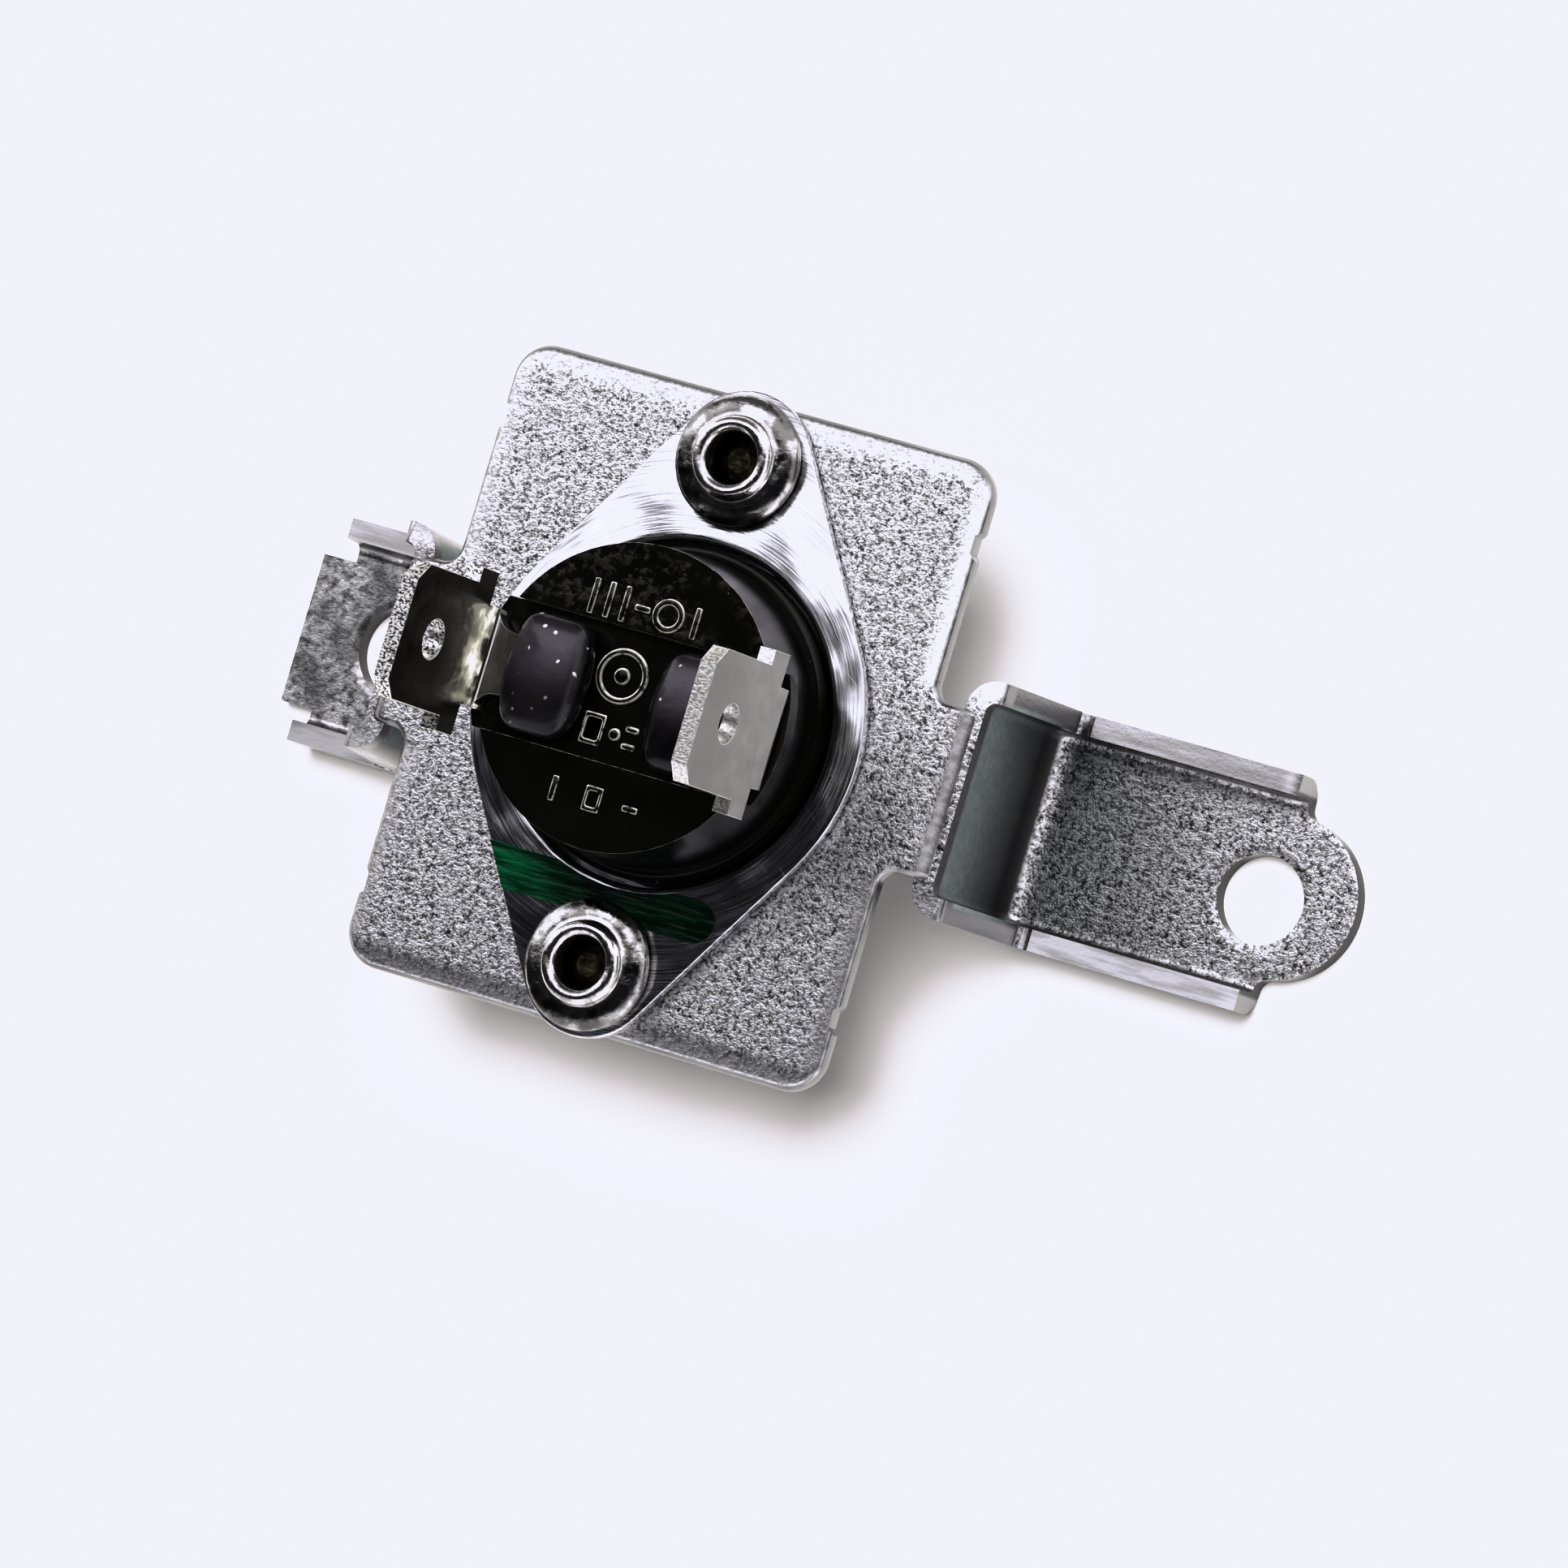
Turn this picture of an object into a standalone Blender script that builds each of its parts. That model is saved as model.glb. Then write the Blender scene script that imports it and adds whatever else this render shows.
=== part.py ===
"""Snap-disc bimetal thermostat riveted to a two-armed folded bracket.

Metres, +Z up towards the terminals, +X along the long arm, +Y towards the upper rivet.
The origin is the centre of the sensing face, the underside of the aluminium cup.
"""
import math

import bmesh
import bpy
from mathutils import Vector

# Fits
SEAT_GAP = 0.00025
SHANK_CLEARANCE = 0.0002
SLIDE_CLEARANCE = 0.0003

# Bracket sheet and plate
SHEET = 0.0010
EDGE_ROLL = 0.0003
PLATE_WIDTH = 0.0246
PLATE_END_MARGIN = 0.00295
PLATE_CORNER = 0.0018
SIDE_NOTCH_FROM_END = 0.00375
SIDE_NOTCH_LENGTH = 0.0014
SIDE_NOTCH_DEPTH = 0.0003
NECK_WIDTH = 0.0080
NECK_LENGTH = 0.0008
BRACKET_SHIFT = -0.00028

# Bracket walls and arms, lengths counted from a wall's outer face
WALL_DROP = 0.0100
TOP_BEND = 0.0006
FOOT_BEND = 0.0012
FLANGE_HEIGHT = 0.0018
WALL_FLANGE_TOP = 0.0008
FLANGE_FOLD = 0.0005
FLANGE_TOP_DROP = 0.0006
FLANGE_CORNER = 0.0004
CORNER_BITE = 0.0005
EAR_FILLET = 0.0006
LONG_WIDTH = 0.0112
LONG_FLANGE = 0.0128
LONG_EAR_BACK = 0.00015
LONG_EAR_RADIUS = 0.00383
LONG_HOLE_INSET = 0.0008
LONG_HOLE_RADIUS = 0.0021
SHORT_WIDTH = 0.0109
SHORT_SWAY = -0.0005
SHORT_FLANGE = 0.0070
SHORT_TAB = 0.0017
SHORT_TAB_WIDTH = 0.0072
SHORT_HOLE_FROM_WALL = 0.0034
SHORT_HOLE_RADIUS = 0.0022
HOLE_ASIDE = -0.00035

# Flanged cup
CUP_BORE = 0.0080
CUP_WALL = 0.0005
CUP_FLOOR = 0.0005
CUP_DEPTH = 0.0042
CUP_EDGE = 0.0005
DISC_LEDGE_HEIGHT = 0.0004
DISC_LEDGE = 0.0021
OVAL_THICKNESS = 0.0005
OVAL_RIM = 0.0012
OVAL_END_RIM = 0.00025

# Mounting rivets, blind type
RIVET_SPACING = 0.0240
RIVET_SHANK = 0.0016
RIVET_HEAD = 0.00306
RIVET_HEAD_RIM = 0.00035
RIVET_RING = 0.00198
RIVET_HEAD_HEIGHT = 0.0013
RIVET_BORE = 0.0012
RIVET_TAIL = 0.0023
RIVET_TAIL_LENGTH = 0.0016
MANDREL_RADIUS = 0.00092
MANDREL_DROP = 0.0012
MANDREL_HEAD = 0.0015
MANDREL_HEAD_LENGTH = 0.0011

# Moulded body
BODY_STEP = 0.00065
BODY_DRAFT = 0.00025
BODY_RISE = 0.00525
BODY_EDGE = 0.0002
SHOULDER_DROP = 0.0001
SHOULDER_FILLET = 0.00035
BODY_WALL = 0.0009
TRENCH_WIDTH = 0.0062
TRENCH_DEPTH = 0.0008
TRENCH_LIP_RADIUS = 0.0078
TRENCH_LIP = 0.0009
CEILING = 0.0011

# Terminals, 6.3 mm push-on blades
BLADE_SHEET = 0.0008
BLADE_WIDTH = 0.0063
BLADE_HEIGHT = 0.00815
BLADE_CHAMFER = 0.0008
BLADE_HOLE_RADIUS = 0.00095
BLADE_HOLE_FROM_TIP = 0.00295
SHOULDER_WIDTH = 0.0077
SHOULDER_LENGTH = 0.0016
BLADE_NECK_WIDTH = 0.0047
BLADE_NECK_LENGTH = 0.0010
BLADE_INSET = 0.0001
BLADE_BEND = 0.00025
LEFT_LEAN = -4.6
RIGHT_LEAN = 2.6
EYE_RADIUS = 0.0014
WAIST_WIDTH = 0.0030

# Terminal rivets and resin
POST_X = 0.0037
POST_RADIUS = 0.0006
POST_HEAD = 0.0011
POST_HEAD_HEIGHT = 0.0004
POST_TAIL = 0.0012
POST_TAIL_HEIGHT = 0.0003
RESIN_LENGTH = 0.0041
RESIN_WIDTH = 0.0056
RESIN_COVER = 0.0005
RESIN_EDGE = 0.0009

# Switch mechanism
STRIP = 0.0004
STRIP_BEND = 0.0002
STRIP_WIDTH = 0.0032
STRIP_CLEARANCE = 0.0008
STRIP_FOOT_END_X = 0.0025
FIXED_LEDGE_END_X = 0.0027
CARRIER_LEDGE_END_X = 0.0039
ARM_THICKNESS = 0.0002
ARM_WIDTH = 0.0026
ARM_ROOT_X = 0.0047
ARM_PIVOT_X = 0.0042
ARM_TIP_X = 0.0047
CONTACT_X = 0.0037
CONTACT_RADIUS = 0.00095
CONTACT_HEIGHT = 0.0005
CONTACT_SHANK = 0.0004
GUIDE_THICKNESS = 0.0008
GUIDE_BOSS_RADIUS = 0.0022
GUIDE_BOSS_HEIGHT = 0.0009
GUIDE_LIP = 0.00125
DISC_THICKNESS = 0.0002
DISC_DISH = 0.0004
DISC_RIM_CLEARANCE = 0.0003
GUIDE_SKIRT = 0.0011
PIN_RADIUS = 0.0010
PIN_EDGE = 0.0002

# Smoothness
ROUND_STEPS = 48
SMALL_STEPS = 24
ARC_STEP = 15.0
COARSE_STEP = 30.0
OVERLAP = 0.0010
MERGE = 0.000001

# Heights that follow
OVAL_TOP = CUP_DEPTH
PLATE_TOP = OVAL_TOP - OVAL_THICKNESS - SEAT_GAP
PLATE_BOTTOM = PLATE_TOP - SHEET
ARM_TOP = PLATE_TOP - WALL_DROP
ARM_BOTTOM = ARM_TOP - SHEET
FACE_Z = OVAL_TOP + BODY_RISE
TRENCH_Z = FACE_Z - TRENCH_DEPTH
CEILING_Z = TRENCH_Z - CEILING
FOOT_BOTTOM = TRENCH_Z + SEAT_GAP
FOOT_TOP = FOOT_BOTTOM + BLADE_SHEET
POST_TOP = FOOT_TOP + SEAT_GAP + POST_HEAD_HEIGHT
STRIP_TOP = CEILING_Z - SEAT_GAP
POST_BOTTOM = STRIP_TOP - STRIP - SEAT_GAP - POST_TAIL_HEIGHT
LEDGE_Z = CUP_FLOOR + DISC_LEDGE_HEIGHT
DISC_RIM_Z = LEDGE_Z + SEAT_GAP
GUIDE_LIP_Z = DISC_RIM_Z + DISC_THICKNESS + SEAT_GAP
GUIDE_BOTTOM = GUIDE_LIP_Z + DISC_DISH
GUIDE_TOP = GUIDE_BOTTOM + GUIDE_THICKNESS
BODY_BOTTOM = GUIDE_TOP + SEAT_GAP
FIXED_LEDGE_BOTTOM = GUIDE_TOP + SEAT_GAP
FIXED_LEDGE_TOP = FIXED_LEDGE_BOTTOM + STRIP
FIXED_CONTACT_TOP = FIXED_LEDGE_TOP + SEAT_GAP + CONTACT_HEIGHT
MOVING_CONTACT_BOTTOM = FIXED_CONTACT_TOP + SEAT_GAP
BLADE_BOTTOM = MOVING_CONTACT_BOTTOM + CONTACT_HEIGHT + SEAT_GAP
BLADE_TOP = BLADE_BOTTOM + ARM_THICKNESS
CARRIER_LEDGE_TOP = BLADE_BOTTOM - SEAT_GAP
DISC_CENTRE_TOP = DISC_RIM_Z - DISC_DISH + DISC_THICKNESS
PIN_BOTTOM = DISC_CENTRE_TOP + SEAT_GAP
PIN_TOP = BLADE_BOTTOM - SEAT_GAP

# Radii that follow
CUP_RADIUS = CUP_BORE + CUP_WALL
DISC_LEDGE_RADIUS = CUP_BORE - DISC_LEDGE
PLATE_BORE = CUP_RADIUS + SEAT_GAP
OVAL_RADIUS = CUP_RADIUS + OVAL_RIM
OVAL_END_RADIUS = RIVET_HEAD + OVAL_END_RIM
RIVET_HOLE = RIVET_SHANK + SHANK_CLEARANCE
BODY_BASE_RADIUS = CUP_BORE - SEAT_GAP
BODY_RADIUS = BODY_BASE_RADIUS - BODY_STEP
CAVITY_RADIUS = BODY_RADIUS - BODY_WALL
GUIDE_RADIUS = BODY_BASE_RADIUS
DISC_RADIUS = GUIDE_RADIUS - GUIDE_SKIRT - DISC_RIM_CLEARANCE
GUIDE_LIP_INNER = DISC_RADIUS + DISC_RIM_CLEARANCE - GUIDE_LIP
POST_HOLE = POST_RADIUS + SHANK_CLEARANCE

# Places that follow
PLATE_HEIGHT = RIVET_SPACING + 2.0 * PLATE_END_MARGIN
SIDE_NOTCH_Y = PLATE_HEIGHT / 2.0 - SIDE_NOTCH_FROM_END
NECK_END_X = PLATE_WIDTH / 2.0 + NECK_LENGTH
WALL_FACE_X = NECK_END_X + TOP_BEND + SHEET
LONG_FLANGE_END_X = WALL_FACE_X + LONG_FLANGE
LONG_EAR_X = LONG_FLANGE_END_X - LONG_EAR_BACK
LONG_HOLE_X = LONG_EAR_X - LONG_HOLE_INSET
SHORT_FLANGE_END_X = WALL_FACE_X + SHORT_FLANGE
SHORT_TAB_END_X = SHORT_FLANGE_END_X + SHORT_TAB
SHORT_HOLE_X = WALL_FACE_X + SHORT_HOLE_FROM_WALL
ARM_REACH_X = LONG_EAR_X + LONG_EAR_RADIUS + OVERLAP
CHANNEL_TOP = PLATE_TOP - FLANGE_TOP_DROP
BLADE_FACE_X = BODY_RADIUS - BLADE_INSET
STRIP_WALL_X = CAVITY_RADIUS - STRIP_CLEARANCE

PARTS = "thermostat"
TOOLS = "shaping_tools"

FINISHES = {
    "zinc": ((0.58, 0.59, 0.60), 0.38, 1.0),
    "aluminium": ((0.80, 0.81, 0.83), 0.28, 1.0),
    "bright_rivet": ((0.78, 0.79, 0.80), 0.16, 1.0),
    "steel_mandrel": ((0.30, 0.29, 0.27), 0.45, 1.0),
    "phenolic": ((0.012, 0.012, 0.011), 0.22, 0.0),
    "tin": ((0.72, 0.72, 0.70), 0.30, 1.0),
    "resin": ((0.075, 0.070, 0.085), 0.30, 0.0),
    "brass": ((0.78, 0.58, 0.28), 0.30, 1.0),
    "silver": ((0.86, 0.85, 0.82), 0.22, 1.0),
    "spring_bronze": ((0.72, 0.47, 0.30), 0.28, 1.0),
    "ceramic": ((0.86, 0.84, 0.78), 0.45, 0.0),
    "moulded_guide": ((0.06, 0.045, 0.035), 0.50, 0.0),
    "bimetal": ((0.62, 0.60, 0.55), 0.26, 1.0),
}


def clear_scene():
    """Start from nothing."""
    for item in list(bpy.data.objects):
        bpy.data.objects.remove(item, do_unlink=True)


def collection(name):
    """The named collection, made on first use."""
    found = bpy.data.collections.get(name)
    if found is None:
        found = bpy.data.collections.new(name)
        bpy.context.scene.collection.children.link(found)
    return found


def finish(name):
    """A material from the finishes above, made on first use."""
    material = bpy.data.materials.get(name)
    if material is None:
        colour, roughness, metallic = FINISHES[name]
        material = bpy.data.materials.new(name)
        material.use_nodes = True
        shader = material.node_tree.nodes["Principled BSDF"]
        shader.inputs["Base Color"].default_value = (*colour, 1.0)
        shader.inputs["Roughness"].default_value = roughness
        shader.inputs["Metallic"].default_value = metallic
    return material


def add_object(name, mesh, material=None):
    """A part when it has a material, otherwise a shaping tool that isn't kept."""
    item = bpy.data.objects.new(name, mesh)
    if material is None:
        collection(TOOLS).objects.link(item)
        item.hide_render = True
        item.display_type = "WIRE"
    else:
        collection(PARTS).objects.link(item)
        mesh.materials.append(finish(material))
    return item


def arc(centre, radius, start, end, step=ARC_STEP):
    """Points along an arc, angles in degrees, both ends included."""
    steps = max(2, math.ceil(abs(end - start) / step))
    points = []
    for index in range(steps + 1):
        angle = math.radians(start + (end - start) * index / steps)
        points.append((centre[0] + radius * math.cos(angle), centre[1] + radius * math.sin(angle)))
    return points


def circle(centre, radius, steps=SMALL_STEPS):
    """A closed ring of points."""
    turns = [2.0 * math.pi * index / steps for index in range(steps)]
    return [(centre[0] + radius * math.cos(a), centre[1] + radius * math.sin(a)) for a in turns]


def mirror_x(points):
    """The outline on the other side of the middle plane."""
    return [(-x, y) for x, y in reversed(points)]


def mirror_y(points):
    """The outline turned over the X axis."""
    return [(x, -y) for x, y in reversed(points)]


def sided(points, side):
    """The outline as given on the +X side, mirrored on the -X side."""
    return points if side > 0 else mirror_x(points)


def on_bracket(points, side=1):
    """The outline on one side of the bracket, whose middle lies a little off the cup's."""
    return [(x + BRACKET_SHIFT, y) for x, y in sided(points, side)]


def prism(name, loops, low, high, plane="XY", material=None):
    """A flat outline with holes, filled and extruded from low to high across its plane."""
    curve = bpy.data.curves.new(name, "CURVE")
    curve.dimensions = "2D"
    curve.fill_mode = "BOTH"
    curve.extrude = (high - low) / 2.0
    for loop in loops:
        spline = curve.splines.new("POLY")
        spline.points.add(len(loop) - 1)
        for point, (x, y) in zip(spline.points, loop):
            point.co = (x, y, 0.0, 1.0)
        spline.use_cyclic_u = True
    shape = bpy.data.objects.new(name, curve)
    bpy.context.scene.collection.objects.link(shape)
    depsgraph = bpy.context.evaluated_depsgraph_get()
    mesh = bpy.data.meshes.new_from_object(shape.evaluated_get(depsgraph))
    bpy.data.objects.remove(shape, do_unlink=True)
    bpy.data.curves.remove(curve)
    for vertex in mesh.vertices:
        level = high if vertex.co.z > 0.0 else low
        vertex.co = on_plane(vertex.co.x, vertex.co.y, level, plane)
    weld(mesh)
    return add_object(name, mesh, material)


def on_plane(x, y, level, plane):
    """A point of an outline drawn on one of the three planes, at a level across it."""
    return {"XY": (x, y, level), "XZ": (x, level, y), "YZ": (level, x, y)}[plane]


def weld(mesh):
    """Join the loose caps of a filled curve and clear the lines across its flat faces."""
    work = bmesh.new()
    work.from_mesh(mesh)
    bmesh.ops.remove_doubles(work, verts=work.verts, dist=MERGE)
    bmesh.ops.dissolve_limit(work, angle_limit=math.radians(0.5), verts=work.verts, edges=work.edges)
    bmesh.ops.recalc_face_normals(work, faces=work.faces)
    work.to_mesh(mesh)
    work.free()


def turned(name, profile, material=None, steps=ROUND_STEPS, closed=False):
    """A profile in the XZ plane turned about Z; it runs down its outer side."""
    mesh = bpy.data.meshes.new(name)
    work = bmesh.new()
    points = [work.verts.new((x, 0.0, z)) for x, z in profile]
    for first, second in zip(points, points[1:]):
        work.edges.new((first, second))
    if closed:
        work.edges.new((points[-1], points[0]))
    work.to_mesh(mesh)
    work.free()
    item = add_object(name, mesh, material)
    turn = item.modifiers.new("turn", "SCREW")
    turn.steps = steps
    turn.render_steps = steps
    turn.use_merge_vertices = True
    turn.merge_threshold = MERGE
    turn.use_smooth_shade = True
    return item


def boolean(target, other, operation):
    """Join, cut or keep only the shared space, exactly."""
    modifier = target.modifiers.new(other.name, "BOOLEAN")
    modifier.operation = operation
    modifier.solver = "EXACT"
    modifier.object = other
    return target


def round_path_edges(item, paths, plane, width, segments):
    """Round only the rims of a prism that follow the given stretches of its outline."""
    runs = set()
    for path in paths:
        marks = [(round(x, 7), round(y, 7)) for x, y in path]
        runs.update(frozenset(pair) for pair in zip(marks, marks[1:]))
    axes = ["XYZ".index(letter) for letter in plane]
    across = 3 - sum(axes)
    mesh = item.data
    weights = mesh.attributes.new("bevel_weight_edge", "FLOAT", "EDGE")
    for edge in mesh.edges:
        ends = [mesh.vertices[index].co for index in edge.vertices]
        marks = frozenset((round(co[axes[0]], 7), round(co[axes[1]], 7)) for co in ends)
        level = abs(ends[0][across] - ends[1][across]) < MERGE
        weights.data[edge.index].value = 1.0 if level and marks in runs else 0.0
    bevel = item.modifiers.new("fold", "BEVEL")
    bevel.width = width
    bevel.segments = segments
    bevel.limit_method = "WEIGHT"
    bevel.use_clamp_overlap = False
    return bevel


def sheet_side(start, heading, moves, thickness):
    """Edge view of a bent sheet: runs and turns along the middle of its thickness.

    A run is a length; a turn is (degrees, inside radius), positive to the left.
    """
    x, y = start
    left, right = [], []

    def station():
        angle = math.radians(heading)
        side = (-math.sin(angle) * thickness / 2.0, math.cos(angle) * thickness / 2.0)
        left.append((x + side[0], y + side[1]))
        right.append((x - side[0], y - side[1]))

    station()
    for move in moves:
        if isinstance(move, tuple):
            degrees, inside = move
            radius = inside + thickness / 2.0
            sign = math.copysign(1.0, degrees)
            angle = math.radians(heading)
            centre = (x - math.sin(angle) * radius * sign, y + math.cos(angle) * radius * sign)
            steps = max(2, math.ceil(abs(degrees) / ARC_STEP))
            for _ in range(steps):
                heading += degrees / steps
                angle = math.radians(heading)
                x = centre[0] + math.sin(angle) * radius * sign
                y = centre[1] - math.cos(angle) * radius * sign
                station()
        else:
            angle = math.radians(heading)
            x += math.cos(angle) * move
            y += math.sin(angle) * move
            station()
    return left + right[::-1]


def oval_outline():
    """The flange: a round middle joined to two small round ends by straight sides."""
    end_y = RIVET_SPACING / 2.0
    lean = math.degrees(math.asin((OVAL_RADIUS - OVAL_END_RADIUS) / end_y))
    right = arc((0.0, 0.0), OVAL_RADIUS, -lean, lean)
    top = arc((0.0, end_y), OVAL_END_RADIUS, lean, 180.0 - lean)
    left = arc((0.0, 0.0), OVAL_RADIUS, 180.0 - lean, 180.0 + lean)
    bottom = arc((0.0, -end_y), OVAL_END_RADIUS, 180.0 + lean, 360.0 - lean)
    return right + top + left + bottom


def plate_quarter():
    """One quarter of the plate's rim: the fillet at a neck's root, a straight side, the corner."""
    fillet_centre = (NECK_END_X, NECK_WIDTH / 2.0 + NECK_LENGTH)
    corner_centre = (PLATE_WIDTH / 2.0 - PLATE_CORNER, PLATE_HEIGHT / 2.0 - PLATE_CORNER)
    fillet = arc(fillet_centre, NECK_LENGTH, 270.0, 180.0)
    return fillet + arc(corner_centre, PLATE_CORNER, 0.0, 90.0)


def side_notch(side, end):
    """A shallow notch with sloped ends in one of the plate's long sides."""
    rim = PLATE_WIDTH / 2.0
    half = SIDE_NOTCH_LENGTH / 2.0
    middle = end * SIDE_NOTCH_Y
    outline = [
        (rim - SIDE_NOTCH_DEPTH, middle - half + SIDE_NOTCH_DEPTH),
        (rim + SIDE_NOTCH_DEPTH, middle - half - SIDE_NOTCH_DEPTH),
        (rim + SIDE_NOTCH_DEPTH, middle + half + SIDE_NOTCH_DEPTH),
        (rim - SIDE_NOTCH_DEPTH, middle + half - SIDE_NOTCH_DEPTH),
    ]
    return prism("side_notch", [on_bracket(outline, side)], PLATE_BOTTOM - OVERLAP, PLATE_TOP + OVERLAP)


def plate_half():
    """The upper half of the rim, from neck to neck."""
    quarter = plate_quarter()
    return quarter + mirror_x(quarter)


def build_plate():
    """The flat plate with its necks, rolled edges and three holes."""
    upper = on_bracket(plate_half())
    lower = mirror_y(upper)
    plate = prism("bracket", [upper + lower], PLATE_BOTTOM, PLATE_TOP, material="zinc")
    round_path_edges(plate, (upper, lower), "XY", EDGE_ROLL, 2)
    bore = prism("cup_hole", [circle((0.0, 0.0), PLATE_BORE, ROUND_STEPS)],
                 PLATE_BOTTOM - OVERLAP, PLATE_TOP + OVERLAP)
    boolean(plate, bore, "DIFFERENCE")
    for side in (1, -1):
        centre = (0.0, side * RIVET_SPACING / 2.0)
        hole = prism("plate_rivet_hole", [circle(centre, RIVET_HOLE)],
                     PLATE_BOTTOM - OVERLAP, PLATE_TOP + OVERLAP)
        boolean(plate, hole, "DIFFERENCE")
        for end in (1, -1):
            boolean(plate, side_notch(side, end), "DIFFERENCE")
    return plate


def channel_path():
    """Underside of a wall and arm, from the wall's top to far beyond the arm's end."""
    centre = (WALL_FACE_X + FOOT_BEND, ARM_TOP + FOOT_BEND)
    bend = arc(centre, FOOT_BEND + SHEET, 180.0, 270.0)
    return [(WALL_FACE_X - SHEET, CHANNEL_TOP)] + bend + [(ARM_REACH_X, ARM_BOTTOM)]


def channel_outline():
    """Side view of the folded channel: flanges that narrow up the wall, and a bite at their corner."""
    rim_x = WALL_FACE_X + FLANGE_HEIGHT
    rim_z = ARM_TOP + FLANGE_HEIGHT
    corner_centre = (WALL_FACE_X + WALL_FLANGE_TOP - FLANGE_CORNER, CHANNEL_TOP - FLANGE_CORNER)
    corner = arc(corner_centre, FLANGE_CORNER, 90.0, 0.0)
    bite = arc((rim_x, rim_z), CORNER_BITE, 90.0, 360.0, COARSE_STEP)
    return channel_path()[::-1] + corner + bite + [(ARM_REACH_X, rim_z)]


def channel_floor():
    """Inside of the channel along wall and arm."""
    centre = (WALL_FACE_X + FOOT_BEND, ARM_TOP + FOOT_BEND)
    bend = arc(centre, FOOT_BEND, 180.0, 270.0)
    return [(WALL_FACE_X, CHANNEL_TOP + OVERLAP)] + bend + [(ARM_REACH_X + OVERLAP, ARM_TOP)]


def long_arm_plan():
    """Plan of the long arm: square flange ends, then a round ear."""
    half = LONG_WIDTH / 2.0 + OVERLAP
    away = LONG_EAR_BACK + EAR_FILLET
    reach = LONG_EAR_RADIUS + EAR_FILLET
    touch = math.degrees(math.acos(away / reach))
    fillet_centre = (LONG_EAR_X + away, math.sqrt(reach ** 2 - away ** 2))
    upper = [(WALL_FACE_X - SHEET - OVERLAP, half), (LONG_FLANGE_END_X, half)]
    upper += arc(fillet_centre, EAR_FILLET, 180.0, 180.0 + touch)[:-1]
    upper += arc((LONG_EAR_X, 0.0), LONG_EAR_RADIUS, touch, 0.0)
    return upper + mirror_y(upper)[1:]


def short_arm_plan():
    """Plan of the short arm: square flange ends, then a square tab."""
    half = SHORT_WIDTH / 2.0 + OVERLAP
    tab = SHORT_TAB_WIDTH / 2.0
    upper = [(WALL_FACE_X - SHEET - OVERLAP, half), (SHORT_FLANGE_END_X, half)]
    upper += [(SHORT_FLANGE_END_X, tab), (SHORT_TAB_END_X, tab)]
    return upper + mirror_y(upper)


def sway(items, amount):
    """Lean a folded leg sideways; its top stays, its foot stays flat and shifts by the amount."""
    for item in items:
        for vertex in item.data.vertices:
            vertex.co.y += amount * (PLATE_TOP - vertex.co.z) / (PLATE_TOP - ARM_BOTTOM)


def build_arm(name, side, width, lean, plan, hole_x, hole_radius):
    """A wall and arm folded as one channel, trimmed to its plan and drilled."""
    half = width / 2.0
    inner = half - SHEET
    low = ARM_BOTTOM - OVERLAP
    high = PLATE_TOP + OVERLAP
    arm = prism(name, [on_bracket(channel_outline(), side)], -half, half, "XZ")
    round_path_edges(arm, [on_bracket(channel_path(), side)], "XZ", FLANGE_FOLD + SHEET, 4)
    floor = channel_floor()
    void = floor + [(floor[-1][0], floor[0][1])]
    hollow = prism(name + "_hollow", [on_bracket(void, side)], -inner, inner, "XZ")
    round_path_edges(hollow, [on_bracket(floor, side)], "XZ", FLANGE_FOLD, 3)
    boolean(arm, hollow, "DIFFERENCE")
    trim = prism(name + "_plan", [on_bracket(plan, side)], low, high)
    boolean(arm, trim, "INTERSECT")
    sway((arm, hollow, trim), lean)
    centre = (side * hole_x + BRACKET_SHIFT, HOLE_ASIDE)
    hole = prism(name + "_hole", [circle(centre, hole_radius, 2 * SMALL_STEPS)], low, ARM_TOP + OVERLAP)
    boolean(arm, hole, "DIFFERENCE")
    return arm


def build_shoulder_bend(side):
    """The bend from a neck down into the wall."""
    start = (NECK_END_X - NECK_LENGTH, PLATE_TOP - SHEET / 2.0)
    moves = [NECK_LENGTH, (-90.0, TOP_BEND), WALL_DROP / 2.0]
    outline = sheet_side(start, 0.0, moves, SHEET)
    middle = len(outline) // 2
    faces = [on_bracket(outline[:middle], side), on_bracket(outline[middle:], side)]
    half = NECK_WIDTH / 2.0
    bend = prism("top_bend", [on_bracket(outline, side)], -half, half, "XZ")
    round_path_edges(bend, faces, "XZ", EDGE_ROLL, 2)
    return bend


def build_bracket():
    """Plate, bends, walls and arms as one folded sheet."""
    bracket = build_plate()
    arms = (
        build_arm("long_arm", 1, LONG_WIDTH, 0.0, long_arm_plan(), LONG_HOLE_X, LONG_HOLE_RADIUS),
        build_arm("short_arm", -1, SHORT_WIDTH, SHORT_SWAY, short_arm_plan(), SHORT_HOLE_X,
                  SHORT_HOLE_RADIUS),
    )
    for side, arm in zip((1, -1), arms):
        boolean(bracket, build_shoulder_bend(side), "UNION")
        boolean(bracket, arm, "UNION")
    return bracket


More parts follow.
